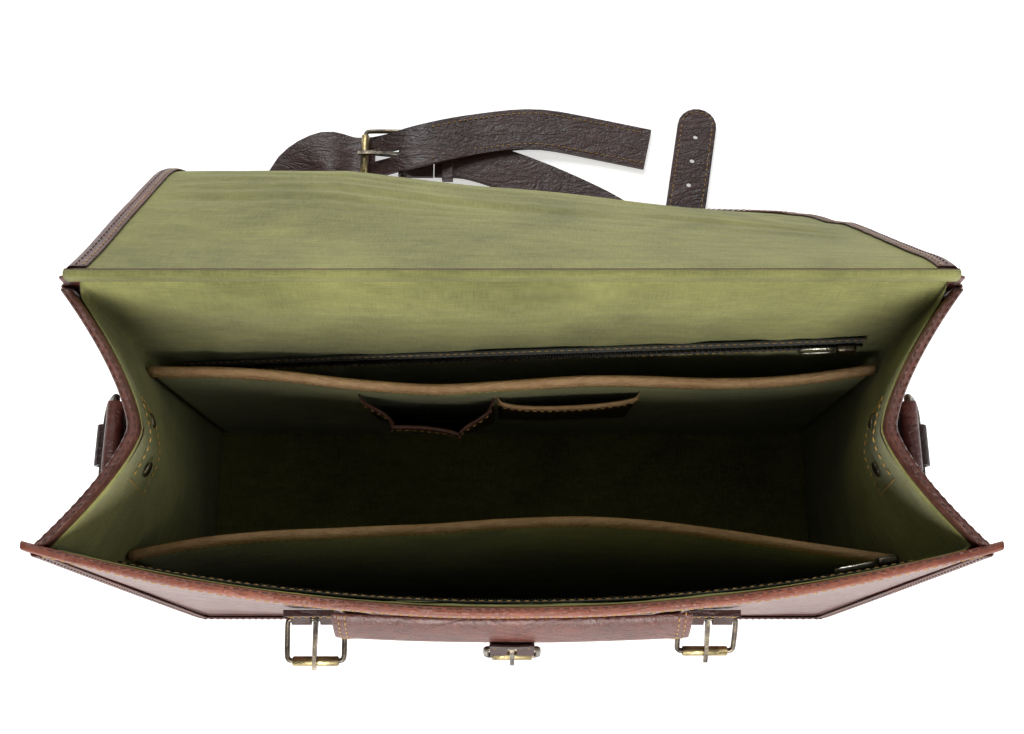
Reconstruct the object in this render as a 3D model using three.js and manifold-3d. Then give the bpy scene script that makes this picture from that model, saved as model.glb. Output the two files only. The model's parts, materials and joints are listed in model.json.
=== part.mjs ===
// A leather messenger bag standing open, its flap thrown back and resting on the ground behind it.
// Millimetres. +Z is up, the front faces -Y, and the origin is under the middle of the bottom panel.
import * as THREE from "three";
import { mergeVertices } from "three/addons/utils/BufferGeometryUtils.js";
import Module from "manifold-3d";

const wasm = await Module();
wasm.setup();

// ---------------------------------------------------------------- driving sizes
const WIDTH = 457;
const HEIGHT = 330;
const DEPTH = 152;
const LEATHER = 3; // wall of leather with its backing
const CLOTH = 1; // lining
const GAP = 0.3; // air between pieces that touch
const LINING_SLACK = 0.9; // the lining hangs a little clear of the walls
const BINDING = 9.2; // height of the bound rims
const PINCH = 43; // how far each gusset folds inwards at the rim
const BULGE = 30; // how far the front bows out at the rim
const DIVIDER = 6;
const DIVIDER_TOP = 222;
const FLAP = 4;
const STRAP = 3;
const WIRE = 2; // radius of the buckle wire

const half = WIDTH / 2;
const panelTop = HEIGHT + 1.5 - BINDING;

// ---------------------------------------------------------------- colours
const bodyLeather = leather(0x7a4438, 0.5);
const darkLeather = leather(0x3f2623, 0.45);
const rimLeather = leather(0x94503a, 0.5);
const rawLeather = leather(0xbf9160, 0.8);
const canvas = leather(0x87905a, 0.95);
const zipCloth = leather(0x23241c, 0.8);
const metal = new THREE.MeshStandardMaterial({ color: 0x6f6a5c, roughness: 0.35, metalness: 1 });

function leather(color, roughness) {
  return new THREE.MeshStandardMaterial({ color, roughness, metalness: 0 });
}

const bag = new THREE.Group();

function add(name, geometry, material, parent = bag) {
  const mesh = new THREE.Mesh(geometry, material);
  mesh.name = name;
  parent.add(mesh);
  return mesh;
}

// ---------------------------------------------------------------- ways to make a solid
const vec = (x, y, z) => new THREE.Vector3(x, y, z);

// Joins equal rings of points into one closed solid, capped at both ends or closed on itself.
function loft(rings, closed = false) {
  const n = rings[0].length;
  const points = rings.flat();
  const faces = [];
  const spans = closed ? rings.length : rings.length - 1;
  for (let i = 0; i < spans; i++) {
    const next = (i + 1) % rings.length;
    for (let j = 0; j < n; j++) {
      const k = (j + 1) % n;
      faces.push([i * n + j, i * n + k, next * n + k], [i * n + j, next * n + k, next * n + j]);
    }
  }
  if (!closed) {
    const last = (rings.length - 1) * n;
    for (let k = 0; k + 1 < n / 2; k++) {
      const quad = [k, k + 1, n - 2 - k, n - 1 - k];
      faces.push([quad[2], quad[1], quad[0]], [quad[3], quad[2], quad[0]]);
      const end = quad.map((q) => q + last);
      faces.push([end[0], end[1], end[2]], [end[0], end[2], end[3]]);
    }
  }
  return solid(points, faces.filter(([a, b, c]) => a !== b && b !== c && c !== a));
}

// A geometry from points and triangles, turned so that its faces point outwards.
function solid(points, faces) {
  let volume = 0;
  for (const [a, b, c] of faces) {
    volume += points[a].dot(vec(0, 0, 0).crossVectors(points[b], points[c]));
  }
  const order = volume < 0 ? faces.map(([a, b, c]) => [a, c, b]) : faces;
  const geometry = new THREE.BufferGeometry();
  geometry.setAttribute("position", new THREE.Float32BufferAttribute(points.flatMap((p) => p.toArray()), 3));
  geometry.setIndex(order.flat());
  geometry.computeVertexNormals();
  return geometry;
}

// A thin wall between two surfaces, each a function of u and v from 0 to 1.
function wall(outer, inner, nu, nv) {
  const rings = [];
  for (let i = 0; i <= nu; i++) {
    const ring = [];
    for (let j = 0; j <= nv; j++) ring.push(outer(i / nu, j / nv));
    for (let j = nv; j >= 0; j--) ring.push(inner(i / nu, j / nv));
    rings.push(ring);
  }
  return loft(rings);
}

// A flat strip of leather along a row of stations, each its place (x, y, z) and then the
// direction of its width there (x, y, z).
function ribbon(stations, width, thickness, steps) {
  const centre = new THREE.CatmullRomCurve3(stations.map((s) => vec(s[0], s[1], s[2])), false, "centripetal");
  const across = new THREE.CatmullRomCurve3(stations.map((s) => vec(s[3], s[4], s[5])), false, "centripetal");
  const rings = [];
  for (let i = 0; i <= steps; i++) {
    const t = i / steps;
    const p = centre.getPoint(t);
    const along = centre.getTangent(t);
    const side = across.getPoint(t);
    side.addScaledVector(along, -side.dot(along)).normalize();
    const up = vec(0, 0, 0).crossVectors(along, side);
    const corner = (a, b) => p.clone().addScaledVector(side, (a * width) / 2).addScaledVector(up, (b * thickness) / 2);
    rings.push([corner(-1, -1), corner(1, -1), corner(1, 1), corner(-1, 1)]);
  }
  return loft(rings);
}

// A round wire along a closed row of points that lie in the local XY plane.
function wireLoop(points, radius, sides) {
  const rings = points.map((p, i) => {
    const before = points[(i + points.length - 1) % points.length];
    const after = points[(i + 1) % points.length];
    const along = after.clone().sub(before).normalize();
    const out = vec(along.y, -along.x, 0);
    return circle(sides).map(([c, s]) => p.clone().addScaledVector(out, c * radius).add(vec(0, 0, s * radius)));
  });
  return loft(rings, true);
}

function circle(sides) {
  return Array.from({ length: sides }, (_, k) => {
    const a = (2 * Math.PI * k) / sides;
    return [Math.cos(a), Math.sin(a)];
  });
}

// The centre line of a rectangle with round corners, from y = 0 down to y = -length.
function roundedLoop(width, length, near, far = near) {
  const points = [];
  const corners = [
    [width / 2 - near, -near, 0, near],
    [-width / 2 + near, -near, 1, near],
    [-width / 2 + far, -length + far, 2, far],
    [width / 2 - far, -length + far, 3, far],
  ];
  for (const [x, y, quarter, radius] of corners) {
    for (let k = 0; k <= 3; k++) {
      const a = (Math.PI / 2) * (quarter + k / 3);
      points.push(vec(x + radius * Math.cos(a), y + radius * Math.sin(a), 0));
    }
  }
  return points;
}

// An outline in the YZ plane, pushed out along X about x = 0. Holes are [y, z, radius].
function slice(outline, holes, width) {
  const shape = new THREE.Shape(outline.map(([y, z]) => new THREE.Vector2(y, z)));
  for (const [y, z, r] of holes) {
    shape.holes.push(new THREE.Path(circle(14).map(([c, s]) => new THREE.Vector2(y + r * c, z + r * s))));
  }
  const geometry = new THREE.ExtrudeGeometry(shape, { depth: width, bevelEnabled: false });
  geometry.translate(0, 0, -width / 2);
  return geometry.applyMatrix4(new THREE.Matrix4().makeBasis(vec(0, 1, 0), vec(0, 0, 1), vec(1, 0, 0)));
}

function toManifold(geometry) {
  geometry.deleteAttribute("normal");
  geometry.deleteAttribute("uv");
  const merged = mergeVertices(geometry, 1e-4);
  return new wasm.Manifold(
    new wasm.Mesh({
      numProp: 3,
      vertProperties: merged.attributes.position.array,
      triVerts: new Uint32Array(merged.index.array),
    }),
  );
}

// What is left of a geometry when a box is taken out of it.
function cutBox(geometry, low, high) {
  const size = high.clone().sub(low);
  const box = new THREE.BoxGeometry(size.x, size.y, size.z);
  box.translate((low.x + high.x) / 2, (low.y + high.y) / 2, (low.z + high.z) / 2);
  const mesh = toManifold(geometry).subtract(toManifold(box)).getMesh();
  const cut = new THREE.BufferGeometry();
  cut.setAttribute("position", new THREE.BufferAttribute(new Float32Array(mesh.vertProperties), 3));
  cut.setIndex(new THREE.BufferAttribute(new Uint32Array(mesh.triVerts), 1));
  cut.computeVertexNormals();
  return cut;
}

// ---------------------------------------------------------------- the shape of the open bag
// The outer face of the front, bowed out towards the rim.
function frontY(x, z) {
  const rise = z / HEIGHT;
  return -(DEPTH / 2) - rise - BULGE * rise ** 1.2 * (1 - (x / half) ** 2);
}

// The outer face of the back, leaning in towards the rim.
const backY = (z) => DEPTH / 2 - 16 * (z / HEIGHT);

// How far out the side edges of the front and back stand.
const sideX = (z) => half + 3.5 * (z / HEIGHT);

// The outer face of the right gusset: flat at the bottom and folded in to a valley at the rim.
const VALLEY = 0.45;
function gussetX(y, z) {
  const front = frontY(half, z);
  const t = (y - front) / (backY(z) - front);
  const off = t < VALLEY ? (VALLEY - t) / VALLEY : (t - VALLEY) / (1 - VALLEY);
  return sideX(z) - PINCH * (z / HEIGHT) ** 1.4 * (1 - Math.min(off, 1) ** 1.4);
}

const FLOOR = 3.5; // top of the bottom panel
const low = FLOOR + GAP;
const mix = (a, b, t) => a + (b - a) * t;

function buildShell() {
  const bottom = new THREE.BoxGeometry(WIDTH, DEPTH, FLOOR);
  bottom.translate(0, 0, FLOOR / 2);
  add("bottom_panel", bottom, bodyLeather);

  const frontFace = (inset) => (u, v) => {
    const z = mix(low, panelTop, v);
    const x = mix(-1, 1, u) * sideX(z);
    return vec(x, frontY(x, z) + inset, z);
  };
  add("front_panel", wall(frontFace(0), frontFace(LEATHER), 20, 8), bodyLeather);

  const BACK_TOP = 334;
  const backFace = (inset) => (u, v) => {
    const z = mix(low, BACK_TOP, v);
    return vec(mix(-1, 1, u) * sideX(z), backY(z) - inset, z);
  };
  add("back_panel", wall(backFace(0), backFace(LEATHER), 1, 1), bodyLeather);

  const clear = LEATHER + GAP;
  for (const [side, sign] of [["left", -1], ["right", 1]]) {
    const gussetFace = (inset) => (u, v) => {
      const z = mix(low, panelTop, v);
      const y = mix(frontY(half, z) + clear, backY(z) - clear, u);
      return vec(sign * (gussetX(y, z) - inset), y, z);
    };
    add(side + "_gusset", wall(gussetFace(0), gussetFace(LEATHER * 1.2), 16, 8), bodyLeather);
  }
}

// The lining follows the walls all round as one open-topped cloth bag.
function buildLining() {
  const outer = LEATHER + LINING_SLACK;
  const inner = outer + CLOTH;
  const LONG = 20;
  const SHORT = 14;
  // one loop round the walls, `inset` inside their outer faces, at height z
  function loop(z, inset, backRise = 0) {
    const slack = inset * 1.4;
    const y0 = frontY(sideX(z) - slack, z) + inset;
    const y1 = backY(z) - inset;
    const ring = [];
    for (let i = 0; i < LONG; i++) {
      const x = mix(-1, 1, i / LONG) * (gussetX(y0, z) - slack);
      ring.push(vec(x, frontY(x, z) + inset, z));
    }
    for (let i = 0; i < SHORT; i++) {
      const y = mix(frontY(gussetX(y0, z) - slack, z) + inset, y1, i / SHORT);
      ring.push(vec(gussetX(y, z) - slack, y, z));
    }
    for (let i = 0; i < LONG; i++) {
      const lift = i > 0 ? backRise : 0;
      ring.push(vec(mix(1, -1, i / LONG) * (gussetX(y1, z) - slack), y1 - lift * 0.05, z + lift));
    }
    for (let i = 0; i < SHORT; i++) {
      const y = mix(y1, frontY(gussetX(y0, z) - slack, z) + inset, i / SHORT);
      ring.push(vec(-(gussetX(y, z) - slack), y, z));
    }
    return ring;
  }
  const LEVELS = [0, 0.12, 0.3, 0.5, 0.7, 0.85, 1];
  const BACK_RISE = 11;
  const ringAt = (base, inset) => (t) => loop(mix(base, panelTop, t), inset, t === 1 ? BACK_RISE : 0);
  const up = LEVELS.map(ringAt(low, outer));
  const down = [...LEVELS].reverse().map(ringAt(low + CLOTH, inner));
  add("main_lining", cup([...up, ...down]), canvas);
}

// Rings that go up the outside and down the inside of a vessel, closed by a flat floor on each side.
function cup(rings) {
  const n = rings[0].length;
  const points = rings.flat();
  const faces = [];
  for (let i = 0; i + 1 < rings.length; i++) {
    for (let j = 0; j < n; j++) {
      const k = (j + 1) % n;
      const a = i * n;
      const b = a + n;
      faces.push([a + j, a + k, b + k], [a + j, b + k, b + j]);
    }
  }
  const last = (rings.length - 1) * n;
  for (const [start, turn] of [[0, true], [last, false]]) {
    const centre = points.length;
    const ring = points.slice(start, start + n);
    points.push(ring.reduce((sum, p) => sum.add(p), vec(0, 0, 0)).divideScalar(n));
    for (let j = 0; j < n; j++) {
      const k = start + ((j + 1) % n);
      faces.push(turn ? [centre, k, start + j] : [centre, start + j, k]);
    }
  }
  return solid(points, faces);
}

// ---------------------------------------------------------------- rims
function buildRims() {
  const base = panelTop + GAP;
  const top = panelTop + BINDING;
  const OVERHANG = 1.5; // how far a binding stands proud of the walls it holds
  const EAR = 3; // the front rim runs past the corners
  const frontEdge = (inset) => (u, v) => {
    const x = mix(-1, 1, u) * (sideX(HEIGHT) + EAR);
    return vec(x, frontY(x, HEIGHT) + inset, mix(base, top, v));
  };
  const inside = LEATHER + OVERHANG;
  add("front_rim_binding", wall(frontEdge(-OVERHANG), frontEdge(inside), 24, 1), rimLeather);
  for (const [side, sign] of [["left", -1], ["right", 1]]) {
    const edge = (inset) => (u, v) => {
      const y = mix(frontY(half, HEIGHT) + inside + GAP, backY(HEIGHT) - LEATHER - GAP, u);
      return vec(sign * (gussetX(y, HEIGHT) - inset), y, mix(base, top, v));
    };
    add(side + "_rim_binding", wall(edge(-OVERHANG), edge(inside + 1), 20, 1), rimLeather);
  }
}

// ---------------------------------------------------------------- dividers and inner pockets
const lift = (z) => (z - FLOOR) / (DIVIDER_TOP - FLOOR);

function rearDividerY(x, z) {
  const top = 37 + 11 * (x / half) ** 2 + 2.5 * Math.sin((x / half) * 7);
  return mix(64, top, lift(z));
}

function frontDividerY(x, z) {
  const top = -45 - 21.5 * (x / half) ** 2 + 2 * Math.sin((x / half) * 6);
  return mix(-66, top, lift(z));
}

function buildDividers() {
  const EDGE = 4;
  const base = FLOOR + CLOTH + 3 * GAP;
  for (const [name, middle] of [["front_divider", frontDividerY], ["rear_divider", rearDividerY]]) {
    const reach = (z) => {
      const y = middle(half, z);
      return Math.min(gussetX(y - DIVIDER / 2, z), gussetX(y + DIVIDER / 2, z)) - 9.6;
    };
    const face = (from, to, inset) => (u, v) => {
      const z = mix(from, to, v);
      const x = mix(-1, 1, u) * reach(z);
      return vec(x, middle(x, z) + inset, z);
    };
    const thick = DIVIDER / 2;
    add(name, wall(face(base, DIVIDER_TOP, -thick), face(base, DIVIDER_TOP, thick), 22, 6), canvas);
    const edgeThick = thick + 0.4;
    const edgeFrom = DIVIDER_TOP + GAP;
    const edgeTo = edgeFrom + EDGE;
    const edge = wall(face(edgeFrom, edgeTo, -edgeThick), face(edgeFrom, edgeTo, edgeThick), 22, 1);
    add(name + "_edge", edge, rawLeather);
  }
}

// A pocket sewn to the front face of the rear divider. gape(u) is how far its mouth stands open.
function innerPocket(name, x0, x1, bottom, mouth, gape, steps) {
  const SKIN = 1.6;
  const face = (inset) => (u, v) => {
    const z = mix(bottom, mouth, v);
    const x = mix(x0, x1, u);
    const stand = gape(u) * Math.sqrt(v);
    return vec(x, rearDividerY(x, z) - DIVIDER / 2 - GAP - inset - stand, z);
  };
  add(name, wall(face(SKIN), face(0), steps, 8), darkLeather);
}

function buildInnerPockets() {
  const rounded = (u) => Math.sin(Math.PI * u) ** 0.35;
  innerPocket("phone_pocket", -93, -11, 90, 200, (u) => mix(12, 24, u) * rounded(u), 16);
  innerPocket("pen_pocket", -9, 78, 100, 200, (u) => 9 * rounded(u), 12);
}

// ---------------------------------------------------------------- zips
const ZIP_TAPE = 1.2;
const LINING_FACE = LEATHER + LINING_SLACK + CLOTH + 0.4; // where a tape lies on the lining
const ZIP_SLOPE = 0.135;
const rearZipZ = (x) => 208.5 + ZIP_SLOPE * x;
const FRONT_ZIP_Z = 278;

function buildZips() {
  const TAPE_HALF = 12;
  const REACH = 205;
  const rearTape = (inset) => (u, v) => {
    const x = mix(-REACH, REACH, u);
    const z = rearZipZ(x) + mix(-TAPE_HALF, TAPE_HALF, v);
    return vec(x, backY(z) - LINING_FACE - inset, z);
  };
  add("rear_zip_tape", wall(rearTape(0), rearTape(ZIP_TAPE), 1, 1), zipCloth);
  const frontTape = (inset) => (u, v) => {
    const x = mix(-REACH, REACH, u);
    const z = FRONT_ZIP_Z + mix(-TAPE_HALF, TAPE_HALF, v);
    return vec(x, frontY(x, z) + LINING_FACE + inset, z);
  };
  add("front_zip_tape", wall(frontTape(0), frontTape(ZIP_TAPE), 24, 2), zipCloth);

  const REST_X = 195;
  const stand = LINING_FACE + ZIP_TAPE;
  const rearZ = rearZipZ(REST_X);
  zipSlider("rear_zip", vec(REST_X, backY(rearZ) - stand, rearZ), 1, Math.atan(ZIP_SLOPE));
  const slope = (frontY(REST_X + 5, FRONT_ZIP_Z) - frontY(REST_X - 5, FRONT_ZIP_Z)) / 10;
  const front = vec(REST_X, frontY(REST_X, FRONT_ZIP_Z) + stand, FRONT_ZIP_Z);
  zipSlider("front_zip", front, -1, 0, Math.atan(slope));
}

// A slider block on the tape and the wire puller that turns on it. facing is 1 where the
// tape's free face looks towards -Y.
function zipSlider(name, place, facing, tilt, turn = 0) {
  const BLOCK = [11, 4.5, 9];
  const AIR = 0.8; // between the block and the tape
  const PULLER_LENGTH = 20;
  const group = new THREE.Group();
  group.position.copy(place);
  group.rotation.set(0, -tilt, turn);
  bag.add(group);
  const block = new THREE.BoxGeometry(...BLOCK);
  block.translate(0, -facing * (BLOCK[1] / 2 + AIR), 0);
  add(name + "_slider", block, metal, group);
  const puller = wireLoop(roundedLoop(8, PULLER_LENGTH, 3.5), 0.9, 6);
  puller.rotateZ(-Math.PI / 2);
  puller.rotateX(Math.PI / 2);
  puller.translate(-BLOCK[0] / 2 - 1.5, -facing * (BLOCK[1] / 2 + AIR), 0);
  add(name + "_puller", puller, metal, group);
}

// ---------------------------------------------------------------- roller buckles
const EYE = 2.6; // hole that runs on the wire
const EYE_WALL = 4.4; // outer radius of the leather round the wire
const CORNER = 3.5;

// A frame lying in the local XY plane: heel bar on the X axis, far bar at y = -length.
function buckle(name, place, tilt, inner, length) {
  const group = new THREE.Group();
  group.position.copy(place);
  group.rotation.set(tilt, 0, 0);
  const width = inner + 2 * WIRE;
  add(name + "_frame", wireLoop(roundedLoop(width, length, CORNER), WIRE, 8), metal, group);

  const rollerHalf = width / 2 - CORNER - 0.4;
  const ROLLER = 3.3;
  const rings = circle(14).map(([c, s]) => {
    const at = (x, r) => vec(x, -length + r * c, r * s);
    return [at(-rollerHalf, EYE), at(rollerHalf, EYE), at(rollerHalf, ROLLER), at(-rollerHalf, ROLLER)];
  });
  add(name + "_roller", loft(rings, true), metal, group);

  const HEEL = 3.9;
  add(name + "_tongue", slice(tongueOutline(HEEL, length, ROLLER), [[0, 0, EYE]], 4.2), metal, group);
  return group;
}

// The side view of a tongue: a ring on the heel bar and an arm that rests on the roller.
function tongueOutline(ring, length, roller) {
  const points = [];
  const START = 0.62 * Math.PI;
  const END = -0.86 * Math.PI;
  for (let k = 0; k <= 9; k++) {
    const a = mix(START, END, k / 9);
    points.push([ring * Math.cos(a), ring * Math.sin(a)]);
  }
  const over = roller + GAP;
  points.push([-length + 4, over + 0.2]);
  points.push([-length - 4.5, over + 0.6]);
  points.push([-length - 5, over + 2.4]);
  points.push([-length + 2, over + 3.4]);
  return points;
}

// A folded piece of leather sewn to a wall, with an eye at its lower end for a wire.
// back(z) is the local Y of the wall it lies on. A tongue passes through its slot, which
// reaches slotTop above the eye.
function foldedTab(back, eyeZ, topZ, thickness, width, slot, slotTop = EYE_WALL + 0.8) {
  const eyeY = back(eyeZ) - EYE_WALL;
  const outline = [
    [back(topZ), topZ],
    [back(topZ) - thickness, topZ],
    [back(eyeZ + 8) - thickness, eyeZ + 8],
  ];
  for (let k = 0; k <= 8; k++) {
    const a = Math.PI + (Math.PI * k) / 8;
    outline.push([eyeY + EYE_WALL * Math.cos(a), eyeZ + EYE_WALL * Math.sin(a)]);
  }
  const tab = slice(outline, [[eyeY, eyeZ, EYE]], width);
  if (!slot) return tab;
  return cutBox(
    tab,
    vec(-slot / 2, eyeY - EYE_WALL - 1, eyeZ - EYE_WALL - 1),
    vec(slot / 2, eyeY + EYE_WALL + 1, eyeZ + slotTop),
  );
}

const CLOSURE_X = 130;
const CLOSURE_STRAP = 32;
const TONGUE_SLOT = 6;
const SWING_SLOT = 12; // slot height that lets a tongue swing up

function buildClosureBuckles() {
  const EYE_Z = 90;
  const TOP_Z = 124;
  for (const [side, sign, tilt] of [["left", -1, 12], ["right", 1, 45]]) {
    const nearest = CLOSURE_X - CLOSURE_STRAP / 2;
    const back = (z) => frontY(nearest, z) - GAP - 0.1;
    const chape = foldedTab(back, EYE_Z, TOP_Z, 4, CLOSURE_STRAP, TONGUE_SLOT, SWING_SLOT);
    chape.translate(sign * CLOSURE_X, 0, 0);
    add(side + "_buckle_chape", chape, darkLeather);
    const place = vec(sign * CLOSURE_X, back(EYE_Z) - EYE_WALL, EYE_Z);
    bag.add(buckle(side + "_buckle", place, THREE.MathUtils.degToRad(tilt), 34, 28));
  }
}

// ---------------------------------------------------------------- front pocket
const POCKET_HALF = 100;
const POCKET_DEEP = 11;
const POCKET_FOLD_Z = 203;
const pocketStand = (x) => POCKET_DEEP * Math.max(0, 1 - Math.abs(x / POCKET_HALF) ** 6);

function buildFrontPocket() {
  const BOTTOM = 24;
  const MOUTH = 186;
  const SKIN = 2;
  const face = (inset) => (u, v) => {
    const z = mix(BOTTOM, MOUTH, v);
    const x = mix(-1, 1, Math.sin(Math.PI * (u - 0.5)) / 2 + 0.5) * POCKET_HALF;
    const stand = pocketStand(x) * Math.min(1, v * 3) ** 0.7;
    return vec(x, frontY(x, z) - GAP - stand - inset, z);
  };
  add("front_pocket", wall(face(SKIN), face(0), 20, 8), bodyLeather);

  // The flap is sewn on above the mouth, rolls over it and hangs down its front.
  const FLAP_END = 119;
  const FLAP_HALF = POCKET_HALF + 4;
  const hang = POCKET_DEEP + SKIN + 1;
  const flapFace = (inset) => (u, v) => {
    const x = mix(-FLAP_HALF, FLAP_HALF, u);
    const z = mix(POCKET_FOLD_Z, FLAP_END, v);
    const over = hang * Math.min(1, v * 4.2) ** 0.6;
    return vec(x, frontY(x, z) - GAP - 0.7 - over - inset, z);
  };
  add("pocket_flap", wall(flapFace(2.4), flapFace(0), 14, 14), bodyLeather);

  // A dummy strap and its buckle hang on the flap's lower edge.
  const flapFront = (z) => frontY(0, z) - hang - 1 - 2.4 - GAP;
  const STRAP_HALF = 14;
  const EYE_Z = 116;
  const back = (z) => flapFront(z) - 0.3;
  const chape = foldedTab(back, EYE_Z, 140, 3, 2 * STRAP_HALF, TONGUE_SLOT, SWING_SLOT);
  add("pocket_buckle_chape", chape, darkLeather);
  const place = vec(0, back(EYE_Z) - EYE_WALL, EYE_Z);
  bag.add(buckle("pocket_buckle", place, THREE.MathUtils.degToRad(84), 2 * STRAP_HALF + 2, 24));
  const strapFace = (inset) => (u, v) => {
    const z = mix(186, 142, v);
    return vec(mix(-STRAP_HALF, STRAP_HALF, u), flapFront(z) - inset, z);
  };
  add("pocket_strap", wall(strapFace(STRAP), strapFace(0), 1, 2), darkLeather);
}

// ---------------------------------------------------------------- side tabs and rings
const SIDE_Y = -14;
const TAB_HALF = 18;
const RING_EYE_Z = 304;
const tabBack = (z) => -(Math.max(gussetX(SIDE_Y - TAB_HALF, z), gussetX(SIDE_Y + TAB_HALF, z)) + GAP + 0.2);

// Places something built against a wall that faces -Y against the outside of a gusset.
function onSide(sign) {
  const group = new THREE.Group();
  group.position.set(0, SIDE_Y, 0);
  group.rotation.z = (sign * Math.PI) / 2;
  bag.add(group);
  return group;
}

const RING_LENGTH = 24;
const RING_WIDTH = 44;
const RING_TILT = THREE.MathUtils.degToRad(62);
const eyeOut = EYE_WALL - tabBack(RING_EYE_Z); // how far out the ring's straight bar is

function buildSides() {
  const TAB_LONG = 52;
  for (const [side, sign] of [["left", -1], ["right", 1]]) {
    const group = onSide(sign);
    // The tab's eye is at its top, so it is built upside down and turned over.
    const tab = foldedTab((down) => tabBack(RING_EYE_Z - down), 0, TAB_LONG, 4, 2 * TAB_HALF, 0);
    add(side + "_side_tab", turnOver(tab, RING_EYE_Z), bodyLeather, group);

    const ringGroup = new THREE.Group();
    ringGroup.position.set(0, -eyeOut, RING_EYE_Z);
    ringGroup.rotation.x = RING_TILT;
    group.add(ringGroup);
    const ring = wireLoop(roundedLoop(RING_WIDTH, RING_LENGTH, CORNER, 10), WIRE, 8);
    add(side + "_d_ring", ring, metal, ringGroup);
    buildRivets(side, sign);
  }
}

// The heads of the two rivets that hold a side tab, on the lining inside.
function buildRivets(side, sign) {
  const HEAD = 1.4;
  const Z = 281;
  const inside = (LEATHER + LINING_SLACK + CLOTH) * 1.4 + 1.2 + HEAD / 2;
  for (const [end, y] of [["front", -26.5], ["back", 0.5]]) {
    const slopeY = (gussetX(y + 1, Z) - gussetX(y - 1, Z)) / 2;
    const slopeZ = (gussetX(y, Z + 1) - gussetX(y, Z - 1)) / 2;
    const inward = vec(-sign, slopeY, slopeZ).normalize();
    const rivet = new THREE.CylinderGeometry(3.6, 4.6, HEAD, 16);
    rivet.applyQuaternion(new THREE.Quaternion().setFromUnitVectors(vec(0, 1, 0), inward));
    rivet.translate(sign * (gussetX(y, Z) - inside), y, Z);
    add(side + "_rivet_" + end, rivet, metal);
  }
}

// Turns a tab made at height 0 upside down and lifts its eye to a height.
function turnOver(geometry, height) {
  const turned = geometry.applyMatrix4(new THREE.Matrix4().makeScale(-1, 1, -1));
  return turned.translate(0, 0, height);
}

// ---------------------------------------------------------------- the main flap
const FOLD = vec(0, 62, 338); // where the flap turns at the back rim
const UPPER_LENGTH = 178.5;
const LOWER_LENGTH = 202.5;
const BEND_ROOM = 2.4; // from the bend line to each half, so that they clear each other when closed
const UPPER_SLOPE = THREE.MathUtils.degToRad(-51);
const LOWER_SLOPE = THREE.MathUtils.degToRad(-69.6);
const FLAP_HALF = 226;

const along = (slope) => vec(0, Math.cos(slope), Math.sin(slope));
const BEND = FOLD.clone().addScaledVector(along(UPPER_SLOPE), UPPER_LENGTH);
const FLAP_END = BEND.clone().addScaledVector(along(LOWER_SLOPE), LOWER_LENGTH);

// A slab that starts at a line, runs down a slope, and has its far corners rounded by radius.
function flapSlab(start, slope, from, to, radius, offset, thickness, halfWidth) {
  const dir = along(slope);
  const out = vec(0, -Math.sin(slope), Math.cos(slope));
  const outline = [[-halfWidth, from], [halfWidth, from]];
  const steps = radius ? 5 : 0;
  for (let k = 0; k <= steps; k++) {
    const a = (Math.PI / 2) * (steps ? k / steps : 0);
    outline.push([halfWidth - radius + radius * Math.cos(a), to - radius + radius * Math.sin(a)]);
  }
  for (let k = 0; k <= steps; k++) {
    const a = (Math.PI / 2) * (steps ? k / steps : 0);
    outline.push([-halfWidth + radius - radius * Math.sin(a), to - radius + radius * Math.cos(a)]);
  }
  const shape = new THREE.Shape(outline.map(([x, s]) => new THREE.Vector2(x, s)));
  const geometry = new THREE.ExtrudeGeometry(shape, { depth: thickness, bevelEnabled: false });
  geometry.translate(0, 0, offset - thickness / 2);
  geometry.applyMatrix4(new THREE.Matrix4().makeBasis(vec(1, 0, 0), dir, out));
  return geometry.translate(start.x, start.y, start.z);
}

const STRAP_OFFSET = -(FLAP / 2 + GAP + STRAP / 2); // closure straps lie on the leather face
const TIP_LENGTH = 98;

function buildFlap() {
  add("flap_upper", flapSlab(FOLD, UPPER_SLOPE, 1, UPPER_LENGTH - BEND_ROOM, 0, 0, FLAP, FLAP_HALF), canvas);
  add("flap_lower", flapSlab(BEND, LOWER_SLOPE, BEND_ROOM, LOWER_LENGTH, 26, 0, FLAP, FLAP_HALF), canvas);
  const strapHalf = CLOSURE_STRAP / 2;
  const SEWN_FROM = 90;
  for (const [side, sign, line] of [["left", -1, LEFT_LINE], ["right", 1, RIGHT_LINE]]) {
    const start = BEND.clone().setX(sign * CLOSURE_X);
    const sewn = flapSlab(start, LOWER_SLOPE, SEWN_FROM, line - 2, 0, STRAP_OFFSET, STRAP, strapHalf);
    add(side + "_closure_strap", sewn, darkLeather);
  }
  // The right tip lies on the ground behind the flap, the left one is folded under it.
  const TIP_ASIDE = 10;
  const TIP_TURN = THREE.MathUtils.degToRad(-9.6);
  const right = tipLine(RIGHT_LINE);
  const rightTip = strapTip(strapHalf).rotateZ(TIP_TURN);
  add("right_closure_tip", rightTip.translate(CLOSURE_X + TIP_ASIDE, right.y, right.z), darkLeather);
  const left = tipLine(LEFT_LINE);
  const leftTip = strapTip(strapHalf).rotateZ(Math.PI);
  add("left_closure_tip", leftTip.translate(-CLOSURE_X, left.y, left.z), darkLeather);
}

// How far down the lower half of the flap each closure strap bends.
const LEFT_LINE = 199.5;
const RIGHT_LINE = 208.2;
const tipLine = (distance) =>
  BEND.clone()
    .addScaledVector(along(LOWER_SLOPE), distance)
    .addScaledVector(vec(0, -Math.sin(LOWER_SLOPE), Math.cos(LOWER_SLOPE)), STRAP_OFFSET);

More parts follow.
